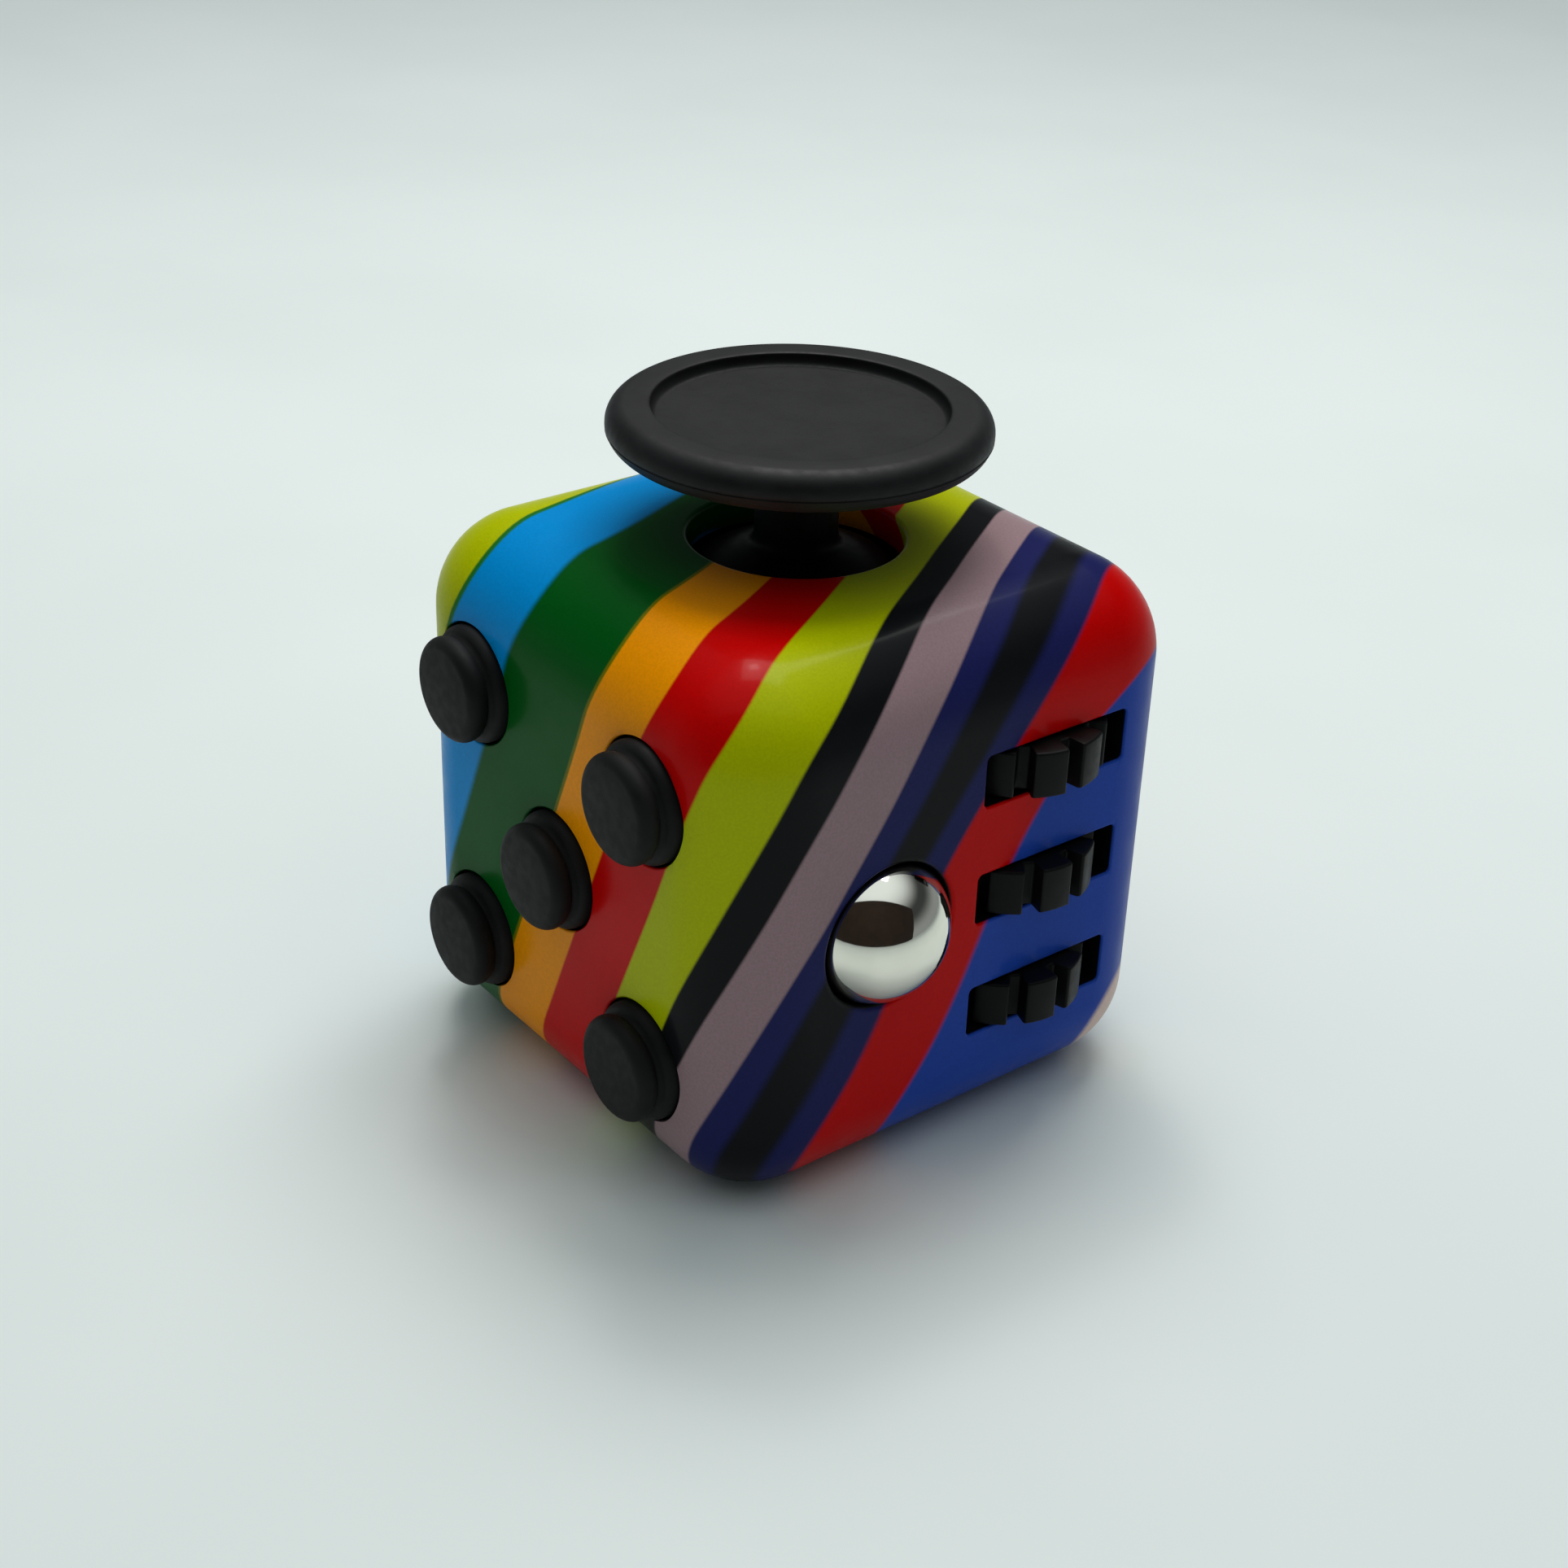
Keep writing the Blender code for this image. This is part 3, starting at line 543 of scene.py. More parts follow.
class Recipe:
    """A material's nodes, with short calls that add them and join them up."""

    def __init__(self, name: str) -> None:
        """Start a material with its shader, and coordinates in millimetres."""
        self.material = bpy.data.materials.new(name)
        self.material.use_nodes = True
        self.shader = self.material.node_tree.nodes["Principled BSDF"]
        place = self.add("ShaderNodeTexCoord").outputs["Object"]
        self.place = self.add("ShaderNodeMapping", Vector=place, Scale=(1 / MM,) * 3).outputs["Vector"]

    def add(self, kind: str, options: dict[str, object] | None = None, **inputs: Input) -> bpy.types.Node:
        """Add a node.

        Args:
            kind: the node's type name.
            options: settings of the node itself.
            **inputs: values or sockets for its inputs, by name.

        Returns:
            The node.
        """
        node = self.material.node_tree.nodes.new(kind)
        for key, value in (options or {}).items():
            setattr(node, key, value)
        for key, value in inputs.items():
            self.set(node.inputs[key.replace("_", " ")], value)
        return node

    def set(self, target: bpy.types.NodeSocket, value: Input) -> None:
        """Join a socket to an input, or give the input a fixed value."""
        if isinstance(value, bpy.types.NodeSocket):
            self.material.node_tree.links.new(value, target)
        else:
            target.default_value = value

    def surface(self, **values: Input) -> None:
        """Set or join the shader's own sockets by name, with _ for a space."""
        for key, value in values.items():
            self.set(self.shader.inputs[key.replace("_", " ")], value)

    def math(self, operation: str, first: Input, second: Input = 0.0) -> bpy.types.NodeSocket:
        """The result of one Math node on one or two values."""
        node = self.add("ShaderNodeMath", {"operation": operation})
        self.set(node.inputs[0], first)
        self.set(node.inputs[1], second)
        return node.outputs[0]

    def vector(
        self, operation: str, first: Input, second: Input, output: str = "Vector"
    ) -> bpy.types.NodeSocket:
        """The result of one Vector Math node on two vectors."""
        node = self.add("ShaderNodeVectorMath", {"operation": operation})
        self.set(node.inputs[0], first)
        self.set(node.inputs[1], second)
        return node.outputs[output]

    def noise(self, per_mm: float, detail: float = 2.0) -> bpy.types.NodeSocket:
        """Noise from 0 to 1 over the surface, with about so many blotches to a millimetre."""
        return self.add("ShaderNodeTexNoise", Vector=self.place, Scale=per_mm, Detail=detail).outputs["Fac"]

    def eased(self, value: Input, bend: float, slope: float) -> bpy.types.NodeSocket:
        """slope (sqrt(value^2 + bend^2) - bend): flat at first, then a straight rise."""
        root = self.math("SQRT", self.math("ADD", self.math("MULTIPLY", value, value), bend**2))
        return self.math("MULTIPLY", self.math("SUBTRACT", root, bend), slope)

    def ramp(
        self, value: Input, low: float, high: float, out_low: float = 0.0, out_high: float = 1.0
    ) -> bpy.types.NodeSocket:
        """Map a value smoothly from low..high to out_low..out_high."""
        node = self.add("ShaderNodeMapRange", {"interpolation_type": "SMOOTHSTEP"}, Value=value)
        for key, number in zip(RANGE_SOCKETS, (low, high, out_low, out_high)):
            node.inputs[key].default_value = number
        return node.outputs["Result"]

    def mix(self, share: Input, first: Input, second: Input, blend: str = "MIX") -> bpy.types.NodeSocket:
        """Mix two colors: the first where the share is 0, the second, or their blend, where it is 1."""
        node = self.add("ShaderNodeMix", {"data_type": "RGBA", "blend_type": blend})
        self.set(node.inputs["Factor"], share)
        for socket, value in ((node.inputs[6], first), (node.inputs[7], second)):
            self.set(socket, value if isinstance(value, bpy.types.NodeSocket) else (*value, 1.0))
        return node.outputs[2]

    def bump(self, height: Input, depth_mm: float, strength: float) -> None:
        """Raise the surface where a height is near 1, by so many millimetres at full strength."""
        node = self.add("ShaderNodeBump", Height=height, Distance=depth_mm * MM, Strength=strength)
        self.set(self.shader.inputs["Normal"], node.outputs["Normal"])


@dataclass(frozen=True)
class Stripe:
    """One color of the casing's print.

    The print's course is a length in millimetres that grows across the stripes.  A stripe may start
    later by its top delay near the top of the cube.
    """

    start: float
    color: Color
    soft: float = 0.12
    top_delay: float = 0.0


LIME = ink(178, 188, 2)
LIME_SHADE = ink(36, 112, 40)
SKY = ink(4, 140, 214)
GREEN = ink(6, 84, 28)
ORANGE_SHADE = ink(112, 112, 12)
ORANGE = ink(246, 150, 4)
RED = ink(196, 10, 10)
INK_BLACK = ink(26, 27, 29)
MAUVE = ink(154, 128, 133)
NAVY = ink(36, 39, 88)
ROYAL = ink(36, 70, 164)
CREAM = ink(225, 196, 184)


@dataclass(frozen=True)
class PrintedGloss:
    """Glossy casing plastic under a print of bent stripes that runs right round the cube.

    With u the distance from the click side and v the distance below the top, let
    e = sqrt(u^2 + bend^2) - bend.  The course is
    x + e (spread - fade max(0, left - x - spread e)) + fall (sqrt(v^2 + turn^2) - turn) - rise v.
    The stripes past the mauve one also sway with v.
    """

    name: str = "printed_gloss"
    spread: float = 0.668
    bend: float = 4.0
    fade: float = 0.0193
    left: float = 14.0
    fall: float = 0.620
    turn: float = 3.0
    rise: float = 0.180
    sway: float = 0.65
    sway_period: float = 26.0
    first: Color = LIME
    under: Color = (0.004, 0.004, 0.005)
    stripes: tuple[Stripe, ...] = (
        Stripe(-9.95, LIME_SHADE, soft=0.1),
        Stripe(-9.55, SKY),
        Stripe(-3.8, GREEN, soft=0.3),
        Stripe(3.95, ORANGE_SHADE, soft=0.08),
        Stripe(4.2, ORANGE, soft=0.08),
        Stripe(8.95, RED),
        Stripe(14.05, LIME),
        Stripe(18.3, INK_BLACK),
        Stripe(20.45, MAUVE),
        Stripe(23.42, NAVY),
        Stripe(25.0, INK_BLACK, soft=0.3),
        Stripe(27.2, NAVY, soft=0.35),
        Stripe(28.75, RED, soft=0.2),
        Stripe(32.5, ROYAL, soft=0.2, top_delay=1.9),
        Stripe(42.5, CREAM, soft=0.25),
        Stripe(46.0, LIME),
    )
    sway_from: float = 23.0
    sway_full: float = 30.0
    top_delay_from: float = 10.0
    top_delay_full: float = 2.0
    wobble: float = 0.15
    wobble_per_mm: float = 0.09
    speckle: float = 0.35
    speckle_per_mm: float = 7.0
    skin: float = 0.12
    opening_reach: float = 7.5
    opening_draw: float = 1.6

    def course(self, recipe: Recipe, across: Input, along: Input, up: Input) -> bpy.types.NodeSocket:
        """Add the nodes of the print's course, by the class's formula.

        Args:
            recipe: the material.
            across: the place along X.
            along: the place along Y.
            up: the place along Z.

        Returns:
            The course in millimetres.
        """
        from_click = recipe.math("ADD", along, HALF)
        below_top = recipe.math("SUBTRACT", 2 * HALF, up)
        out = recipe.eased(from_click, self.bend, 1.0)
        spread = recipe.math("ADD", across, recipe.math("MULTIPLY", out, self.spread))
        left_of = recipe.math("MAXIMUM", recipe.math("SUBTRACT", self.left, spread), 0.0)
        held_back = recipe.math("MULTIPLY", recipe.math("MULTIPLY", out, left_of), self.fade)
        down = recipe.eased(below_top, self.turn, self.fall)
        down = recipe.math("SUBTRACT", down, recipe.math("MULTIPLY", below_top, self.rise))
        course = recipe.math("ADD", recipe.math("SUBTRACT", spread, held_back), down)
        swing = recipe.math("COSINE", recipe.math("MULTIPLY", below_top, 2 * math.pi / self.sway_period))
        late = recipe.ramp(course, self.sway_from, self.sway_full, 0.0, self.sway)
        course = recipe.math("SUBTRACT", course, recipe.math("MULTIPLY", swing, late))
        wave = recipe.math("SUBTRACT", recipe.noise(self.wobble_per_mm, 1.0), 0.5)
        return recipe.math("ADD", course, recipe.math("MULTIPLY", wave, 2 * self.wobble))

    def material(self) -> bpy.types.Material:
        """Build the material: the stripes in order, a fine speckle in the inks and a faint orange peel."""
        recipe = Recipe(self.name)
        split = recipe.add("ShaderNodeSeparateXYZ", Vector=recipe.place)
        across, along, up = (split.outputs[axis] for axis in "XYZ")
        depth, in_opening = self.depth_below_skin(recipe, across, along, up)
        drawn_in = recipe.math("MULTIPLY", recipe.math("MULTIPLY", depth, in_opening), self.opening_draw)
        course = recipe.math("SUBTRACT", self.course(recipe, across, along, up), drawn_in)

        top = 2 * HALF
        color = recipe.mix(0.0, self.first, self.first)
        for stripe in self.stripes:
            delayed = course
            if stripe.top_delay:
                delay = recipe.ramp(
                    up, top - self.top_delay_from, top - self.top_delay_full, 0.0, stripe.top_delay
                )
                delayed = recipe.math("SUBTRACT", course, delay)
            share = recipe.ramp(delayed, stripe.start - stripe.soft, stripe.start + stripe.soft)
            color = recipe.mix(share, color, stripe.color)

        bare = recipe.ramp(depth, self.skin * 0.5, self.skin * 1.5)
        bare = recipe.math("MULTIPLY", bare, recipe.math("SUBTRACT", 1.0, in_opening))
        color = recipe.mix(bare, color, self.under)
        speckle = recipe.ramp(recipe.noise(self.speckle_per_mm, 3.0), 0.3, 0.7)
        grey = recipe.mix(speckle, (0.72, 0.72, 0.72), (1.0, 1.0, 1.0))
        recipe.bump(recipe.noise(0.6, 1.0), 0.01, 0.12)
        recipe.surface(
            Base_Color=recipe.mix(self.speckle, color, grey, "MULTIPLY"),
            Roughness=recipe.ramp(recipe.noise(0.5, 3.0), 0.3, 0.7, 0.28, 0.38),
            Specular_IOR_Level=0.03,
            Coat_Weight=0.08,
            Coat_Roughness=0.12,
        )
        return recipe.material

    def depth_below_skin(
        self, recipe: Recipe, across: Input, along: Input, up: Input
    ) -> tuple[bpy.types.NodeSocket, bpy.types.NodeSocket]:
        """Add nodes for a point's depth below the printed skin, and for whether it is in the stick's opening.

        The depth is the edge radius less the distance to the inner cube of half size (half - radius).  The
        ink runs down the wall of the stick's opening, and stops at the edge of every other one.

        Args:
            recipe: the material.
            across: the place along X.
            along: the place along Y.
            up: the place along Z.

        Returns:
            The depth in millimetres, and 1 in the stick's opening or 0 elsewhere.
        """
        inner = (HALF - EDGE_RADIUS,) * 3
        vector = recipe.place
        for operation, amount in (
            ("SUBTRACT", (0, 0, MID_Z)),
            ("ABSOLUTE", (0, 0, 0)),
            ("SUBTRACT", inner),
            ("MAXIMUM", (0, 0, 0)),
        ):
            vector = recipe.vector(operation, vector, amount)
        distance = recipe.vector("LENGTH", vector, (0, 0, 0), "Value")
        depth = recipe.math("SUBTRACT", EDGE_RADIUS, distance)
        squares = [recipe.math("MULTIPLY", value, value) for value in (across, along)]
        reach = recipe.math("SQRT", recipe.math("ADD", *squares))
        near_axis = recipe.math("LESS_THAN", reach, self.opening_reach)
        just_inside = 0.3
        high = recipe.math("GREATER_THAN", up, 2 * HALF - WALL - just_inside)
        return depth, recipe.math("MULTIPLY", near_axis, high)


@dataclass(frozen=True)
class MouldedPlastic:
    """Plain moulded plastic or rubber with a fine grain, and slightly uneven gloss."""

    name: str
    color: Color
    roughness: float
    grain_per_mm: float = 5.0
    grain_depth: float = 0.01
    grain_strength: float = 0.4
    specular: float = 0.5
    coat: float = 0.0

    def material(self) -> bpy.types.Material:
        """Build the material: two tones mixed by soft blotches, and roughness and grain from noise."""
        recipe = Recipe(self.name)
        blotch = recipe.ramp(recipe.noise(0.35, 4.0), 0.35, 0.65)
        lighter = tuple(value * 1.3 + 0.002 for value in self.color)
        recipe.bump(recipe.noise(self.grain_per_mm, 3.0), self.grain_depth, self.grain_strength)
        recipe.surface(
            Base_Color=recipe.mix(blotch, self.color, lighter),
            Roughness=recipe.ramp(
                recipe.noise(1.4, 4.0), 0.3, 0.7, self.roughness - 0.05, self.roughness + 0.05
            ),
            Specular_IOR_Level=self.specular,
            Coat_Weight=self.coat,
            Coat_Roughness=0.1,
        )
        return recipe.material


@dataclass(frozen=True)
class Metal:
    """Bare metal with hair-fine marks that change its gloss a little."""

    name: str
    color: Color
    roughness: float
    marks: float = 0.04

    def material(self) -> bpy.types.Material:
        """Build the material: a metallic shader whose roughness follows long thin marks."""
        recipe = Recipe(self.name)
        drawn = recipe.add("ShaderNodeMapping", Vector=recipe.place, Scale=(0.6, 0.6, 9.0)).outputs["Vector"]
        hairs = recipe.add("ShaderNodeTexNoise", Vector=drawn, Scale=1.5, Detail=5.0).outputs["Fac"]
        tone = recipe.ramp(recipe.noise(0.4, 2.0), 0.3, 0.7)
        darker = tuple(value * 0.94 for value in self.color)
        recipe.bump(recipe.noise(3.0, 2.0), 0.002, 0.15)
        recipe.surface(
            Base_Color=recipe.mix(tone, self.color, darker),
            Roughness=recipe.ramp(hairs, 0.35, 0.75, self.roughness, self.roughness + self.marks),
            Metallic=1.0,
        )
        return recipe.material


Finish = PrintedGloss | MouldedPlastic | Metal

FINISHES: dict[str, Finish] = {
    "casing": PrintedGloss(),
    "cap_black": MouldedPlastic(
        "cap_black", (0.0045, 0.0045, 0.005), 0.55, grain_per_mm=7.0, grain_strength=0.3, specular=0.22
    ),
    "gloss_black": MouldedPlastic(
        "stem_black", (0.003, 0.003, 0.003), 0.4, grain_strength=0.15, specular=0.12
    ),
    "wheel_black": MouldedPlastic(
        "wheel_black", (0.0022, 0.0022, 0.0022), 0.45, grain_strength=0.25, specular=0.12
    ),
    "soft_touch": MouldedPlastic(
        "soft_touch", (0.006, 0.006, 0.0062), 0.62, grain_per_mm=9.0, grain_depth=0.012, specular=0.15
    ),
    "inner_plastic": MouldedPlastic("inner_dark", (0.012, 0.012, 0.013), 0.5),
    "chrome": Metal("chrome", (0.83, 0.81, 0.72), 0.04),
    "steel": Metal("steel", (0.58, 0.57, 0.55), 0.28, marks=0.12),
    "board": MouldedPlastic("board_lacquer", (0.012, 0.11, 0.045), 0.38, coat=0.3),
    "silicone": MouldedPlastic("silicone", (0.55, 0.55, 0.53), 0.65),
}
Materials = dict[str, bpy.types.Material]


def dressed(piece: bpy.types.Object, finish: bpy.types.Material) -> bpy.types.Object:
    """Give a piece one material."""
    piece.data.materials.clear()
    piece.data.materials.append(finish)
    return piece


class SubAssembly:
    """A group of pieces that are built, finished and put in together."""

    def pieces(self) -> Iterator[tuple[bpy.types.Object, str, str]]:
        """Each piece, with its material slot and the CAD node that it stands for."""
        raise NotImplementedError

    def dress(self, finishes: Materials) -> None:
        """Build each piece, finish it as its material slot says and put it in.

        Args:
            finishes: a material for each slot.
        """
        for piece, slot, node in self.pieces():
            install(dressed(piece, finishes[slot]), slot, node)


# ---- casing ----
@dataclass
class Casing(SubAssembly):
    """The printed shell and the base cover that closes it."""

    stick_opening: float = 6.2
    button_hole: float = 3.65
    slot_long: float = 10.4
    slot_high: float = 3.16
    seat_radius: float = 4.56
    rocker_slot_half: float = 6.45
    rocker_slot_wide: float = 5.8
    dial_recess: float = 9.3
    dial_recess_deep: float = 0.6
    dial_hole: float = 3.15
    cover_half: float = 13.1
    cover_gap: float = 0.3
    cover_corner: float = 2.7
    cover_thick: float = 3.4
    dish_radius: float = 10.0
    dish_deep: float = 1.9
    boss_radius: float = 1.7
    boss_face: float = 11.55
    tab_half_long: float = 4.0
    tab_half_high: float = 1.1
    tab_half_thick: float = 0.5

    def cutters(self) -> Surface:
        """All the openings in the shell's wall, as one set of closed surfaces that don't touch."""
        deep = WALL + 1.2
        tools = [round_pocket(self.stick_opening, 0.3, deep, 128).placed((0, 0, 2 * HALF), Side.TOP.axes)]
        for place in ClickSide.PLACES:
            x, _, z = cad_middle("button_" + place)
            tools.append(round_pocket(self.button_hole, 0.15, deep).placed((x, -HALF, z), Side.CLICK.axes))
        for level in Wheels.LEVELS:
            _, y, z = cad_middle("gear_" + level)
            slot = oblong_pocket(self.slot_long / 2, self.slot_high / 2, 0.3, 0.18, deep)
            tools.append(slot.placed((HALF, y, z), Side.ROLL.axes))
        tools.append(self.ball_seat())
        rocker = oblong_pocket(self.rocker_slot_wide / 2, self.rocker_slot_half, 0.3, 0.18, deep)
        tools.append(rocker.placed((-HALF, 0, MID_Z), Side.FLIP.axes))
        lip = 0.2
        recess = profile_of(
            [(0, 1), (self.dial_recess + lip, 1)],
            rounded_lip(lip) + (self.dial_recess, 0),
            [(self.dial_recess, -self.dial_recess_deep), (self.dial_hole, -self.dial_recess_deep)],
            [(self.dial_hole, -deep), (0, -deep)],
        )
        tools.append(turned(recess, 160).placed((0, HALF, MID_Z), Side.DIAL.axes))
        return tools[0].beside(*tools[1:])

    def ball_seat(self) -> Surface:
        """Cutter for the ball's seat: a rounded lip that runs into a sphere a little larger than the ball."""
        centre = cad_middle("ball")
        face = HALF - centre[0]
        lip = 0.34
        mouth_height = face - lip
        mouth = math.sqrt(self.seat_radius**2 - mouth_height**2)
        start = math.degrees(math.atan2(mouth_height, mouth))
        profile = profile_of(
            [(0, face + 1), (mouth + lip, face + 1)],
            rounded_lip(lip) + (mouth, face),
            arc((0, 0), self.seat_radius, start, -89, 28)[1:],
            [(0, -self.seat_radius)],
        )
        return turned(profile, 128).placed(centre, Side.ROLL.axes)

    def build_shell(self) -> bpy.types.Object:
        """Hollow the rounded cube, open its base, cut its openings and set the two board posts inside."""
        shell = rounded_cube(HALF, EDGE_RADIUS, 8, 22).as_object("casing_shell")
        worked(shell, rounded_cube(HALF - WALL, EDGE_RADIUS - WALL, 5, 10), Work.CUT)
        mouth = self.cover_half + self.cover_gap
        opening = oblong_pocket(mouth, mouth, self.cover_corner + self.cover_gap, SHARP, 4.0)
        worked(shell, opening.placed((0, 0, 0), Side.BASE.axes), Work.CUT)
        worked(shell, self.cutters(), Work.CUT)
        bite = 0.4
        post_top = HALF - WALL + bite
        post = turned(
            profile_of(
                [(0, post_top), (self.boss_radius, post_top)],
                [(self.boss_radius, self.boss_face), (0, self.boss_face)],
            ),
            32,
        )
        posts = [
            post.placed((0, 0, cad_middle(f"click_board_screw_{level}")[2]), Side.CLICK.axes)
            for level in ("upper", "lower")
        ]
        worked(shell, posts[0].beside(posts[1]), Work.JOIN)
        return shaded_as_rounded_cube(shell)

    def build_cover(self) -> bpy.types.Object:
        """The base cover: the cube's own skin inside a square plate, with a thumb dish and snap tabs."""
        cover = rounded_cube(HALF, EDGE_RADIUS, 8, 22).as_object("base_cover_plate")
        outline = rounded_oblong(self.cover_half, self.cover_half, self.cover_corner)
        levels = np.array([self.cover_thick, -1.0])
        rings = np.stack([np.column_stack([outline, np.full(len(outline), z)]) for z in levels])
        worked(cover, capped(rings, (0, 0, levels[0]), (0, 0, levels[1])), Work.KEEP)
        sphere = (self.dish_radius**2 + self.dish_deep**2) / (2 * self.dish_deep)
        spread = math.degrees(math.asin(self.dish_radius / sphere))
        edge = self.dish_radius + 0.5
        soften = 4
        bowl = profile_of(
            [(0, 1.0), (edge, 1.0), (edge, 0.02)],
            bent_corner((edge, 0.02), (self.dish_radius, 0.0), (self.dish_radius - 0.6, -0.2), 6),
            arc((0, sphere - self.dish_deep), sphere, spread - 90 - soften, -90, 24)[1:],
        )
        bowl[-1, 0] = 0.0
        worked(cover, turned(bowl, 160).placed((0, 0, 0), Side.BASE.axes), Work.CUT)
        middle = self.cover_half - self.tab_half_thick
        bite = 0.3
        tab_height = self.cover_thick + self.tab_half_high - bite
        tab = oblong_pocket(self.tab_half_long, self.tab_half_high, 0.2, SHARP, 2 * self.tab_half_thick)
        low = tab.points[:, 2] <= -self.tab_half_thick
        tab.points[:, 2] = np.where(low, -self.tab_half_thick, self.tab_half_thick)
        for side in (Side.ROLL, Side.FLIP, Side.DIAL, Side.CLICK):
            worked(cover, tab.placed(side.axes[2] * middle + (0, 0, tab_height), side.axes), Work.JOIN)
        return shaded_as_rounded_cube(cover)

    def pieces(self) -> Iterator[tuple[bpy.types.Object, str, str]]:
        """The shell and the base cover."""
        yield self.build_shell(), "casing", "shell"
        yield self.build_cover(), "casing", "base_cover"


# ---- glide stick ----
@dataclass
class GlideStick(SubAssembly):
    """The thumb cap with its shallow dish, and the stem whose dome closes the opening."""

    pivot_z: float = 22.3
    pivot_ball: float = 2.2
    dome: float = 10.5
    dome_wall: float = 1.3
    dome_half_angle: float = 50.0
    neck: float = 2.4
    cap: float = 10.85
    cap_top: float = 40.75
    rim: float = 1.2
    dish: float = 8.35
    dish_deep: float = 0.75
    cap_thick: float = 2.9
    cup_wall: float = 0.9
    cup_deep: float = 1.5
    neck_gap: float = 0.12
    seam: float = 0.05

    @property
    def neck_top(self) -> float:
        """Height of the neck's end, inside the cap."""
        return self.cap_top - self.dish_deep - 3.2

    def build_cap(self) -> bpy.types.Object:
        """The cap: a shallow bowl that meets the rim in a soft edge, a parting line and a short skirt."""
        floor = self.cap_top - self.dish_deep
        rim_r = self.cap - self.rim
        rim_z = self.cap_top - self.rim
        under = floor - self.cap_thick
        cup = self.neck + self.cup_wall
        cup_end = under - self.cup_deep
        bore = self.neck + self.neck_gap
        bore_end = self.neck_top + 0.25
        lip = (self.dish, self.cap_top - 0.1)
        bowl = bent_corner((self.dish - 0.4, floor), (self.dish - 0.03, floor), lip, 10)
        crest = (self.dish + 0.02, self.cap_top)
        shoulder = bent_corner(lip, crest, (self.dish + 0.45, self.cap_top - 0.01), 6)
        parting = [
            (self.cap - 0.002, rim_z - 0.18),
            (self.cap - self.seam, rim_z - 0.24),
            (self.cap - 0.012, rim_z - 0.30),
        ]
        profile = profile_of(
            [(0, floor - 0.03), (self.dish * 0.5, floor - 0.02)],
            bowl,
            shoulder[1:],
            arc((rim_r, rim_z), self.rim, 84, 0, 16),
            parting,
            arc((rim_r, rim_z), self.rim, -20, -58, 8),
            bent_corner((6.2, under + 0.35), (cup + 1.2, under), (cup + 0.5, under - 0.7), 6),
            [(cup, cup_end), (bore, cup_end), (bore, bore_end), (0, bore_end)],
        )
        return shaded(turned(profile, 160).as_object("thumb_cap"))

    def build_stem(self) -> bpy.types.Object:
        """The stem: neck, thin dome, the pin under it and the pivot ball."""
        inner = self.dome - self.dome_wall
        foot = math.degrees(math.asin((self.neck + 0.5) / self.dome))
        pin = 1.25
        ball_join = math.degrees(math.asin(pin / self.pivot_ball))
        edge = 90 - self.dome_half_angle
        neck_end = self.neck_top - self.pivot_z
        dome = arc((0, 0), self.dome, 90 - foot, edge, 20)
        profile = profile_of(
            [(0, neck_end), (self.neck - 0.2, neck_end), (self.neck, neck_end - 0.2)],
            bent_corner((self.neck, self.dome + 0.55), (self.neck, self.dome - 0.3), dome[0], 6),
            dome[1:],
            arc((0, 0), inner, edge, 90 - math.degrees(math.asin(2.1 / inner)), 14),
            [(pin, inner - 1.6)],
            arc((0, 0), self.pivot_ball, 90 - ball_join, -89, 20),
            [(0, -self.pivot_ball)],
        )
        stem = turned(profile, 128).placed((0, 0, self.pivot_z), Side.TOP.axes)
        return shaded(stem.as_object("glide_stem"))

    def pieces(self) -> Iterator[tuple[bpy.types.Object, str, str]]:
        """The cap and the stem."""
        yield self.build_cap(), "cap_black", "joystick_cap"
        yield self.build_stem(), "gloss_black", "joystick_stem"


# ---- click side ----
@dataclass
class ClickSide(SubAssembly):
    """Five soft buttons, laid out as the spots of a five on a die."""

    PLACES = ("upper_left", "upper_right", "centre", "lower_left", "lower_right")

    radius: float = 3.49
    front: float = 3.13
    proud: float = 2.0
    crown: float = 0.1
    edge: float = 0.7
    shoulder: float = 0.6
    flange: float = 3.9
    flange_top: float = -2.3
    flange_thick: float = 0.5
    plunger: float = 1.0
    plunger_tip: float = 4.05

    def build_button(self, place: str) -> bpy.types.Object:
        """One button: a crowned disc, a crease under its round edge, a shoulder, a flange and a plunger."""
        face = self.front - self.edge
        top = self.proud + self.crown
        edge_height = self.proud - self.edge
        neck = self.radius - self.shoulder
        under = self.flange_top - self.flange_thick
        profile = profile_of(
            bent_corner((0, top), (face * 0.6, top), (face, self.proud), 8),
            arc((face, edge_height), self.edge, 82, -48, 18),
            [(neck + 0.06, edge_height - 0.60)],
            arc((neck, 0.0), self.shoulder, 72, 0, 10),
            [(self.radius, self.flange_top), (self.flange, self.flange_top), (self.flange, under)],
            [(self.plunger, under), (self.plunger - 0.1, -self.plunger_tip), (0, -self.plunger_tip)],
        )
        x, _, z = cad_middle("button_" + place)
        button = turned(profile, 112).placed((x, -HALF, z), Side.CLICK.axes)
        return shaded(button.as_object("soft_button_" + place))

    def pieces(self) -> Iterator[tuple[bpy.types.Object, str, str]]:
        """The five buttons."""
        for place in self.PLACES:
            yield self.build_button(place), "soft_touch", "button_" + place


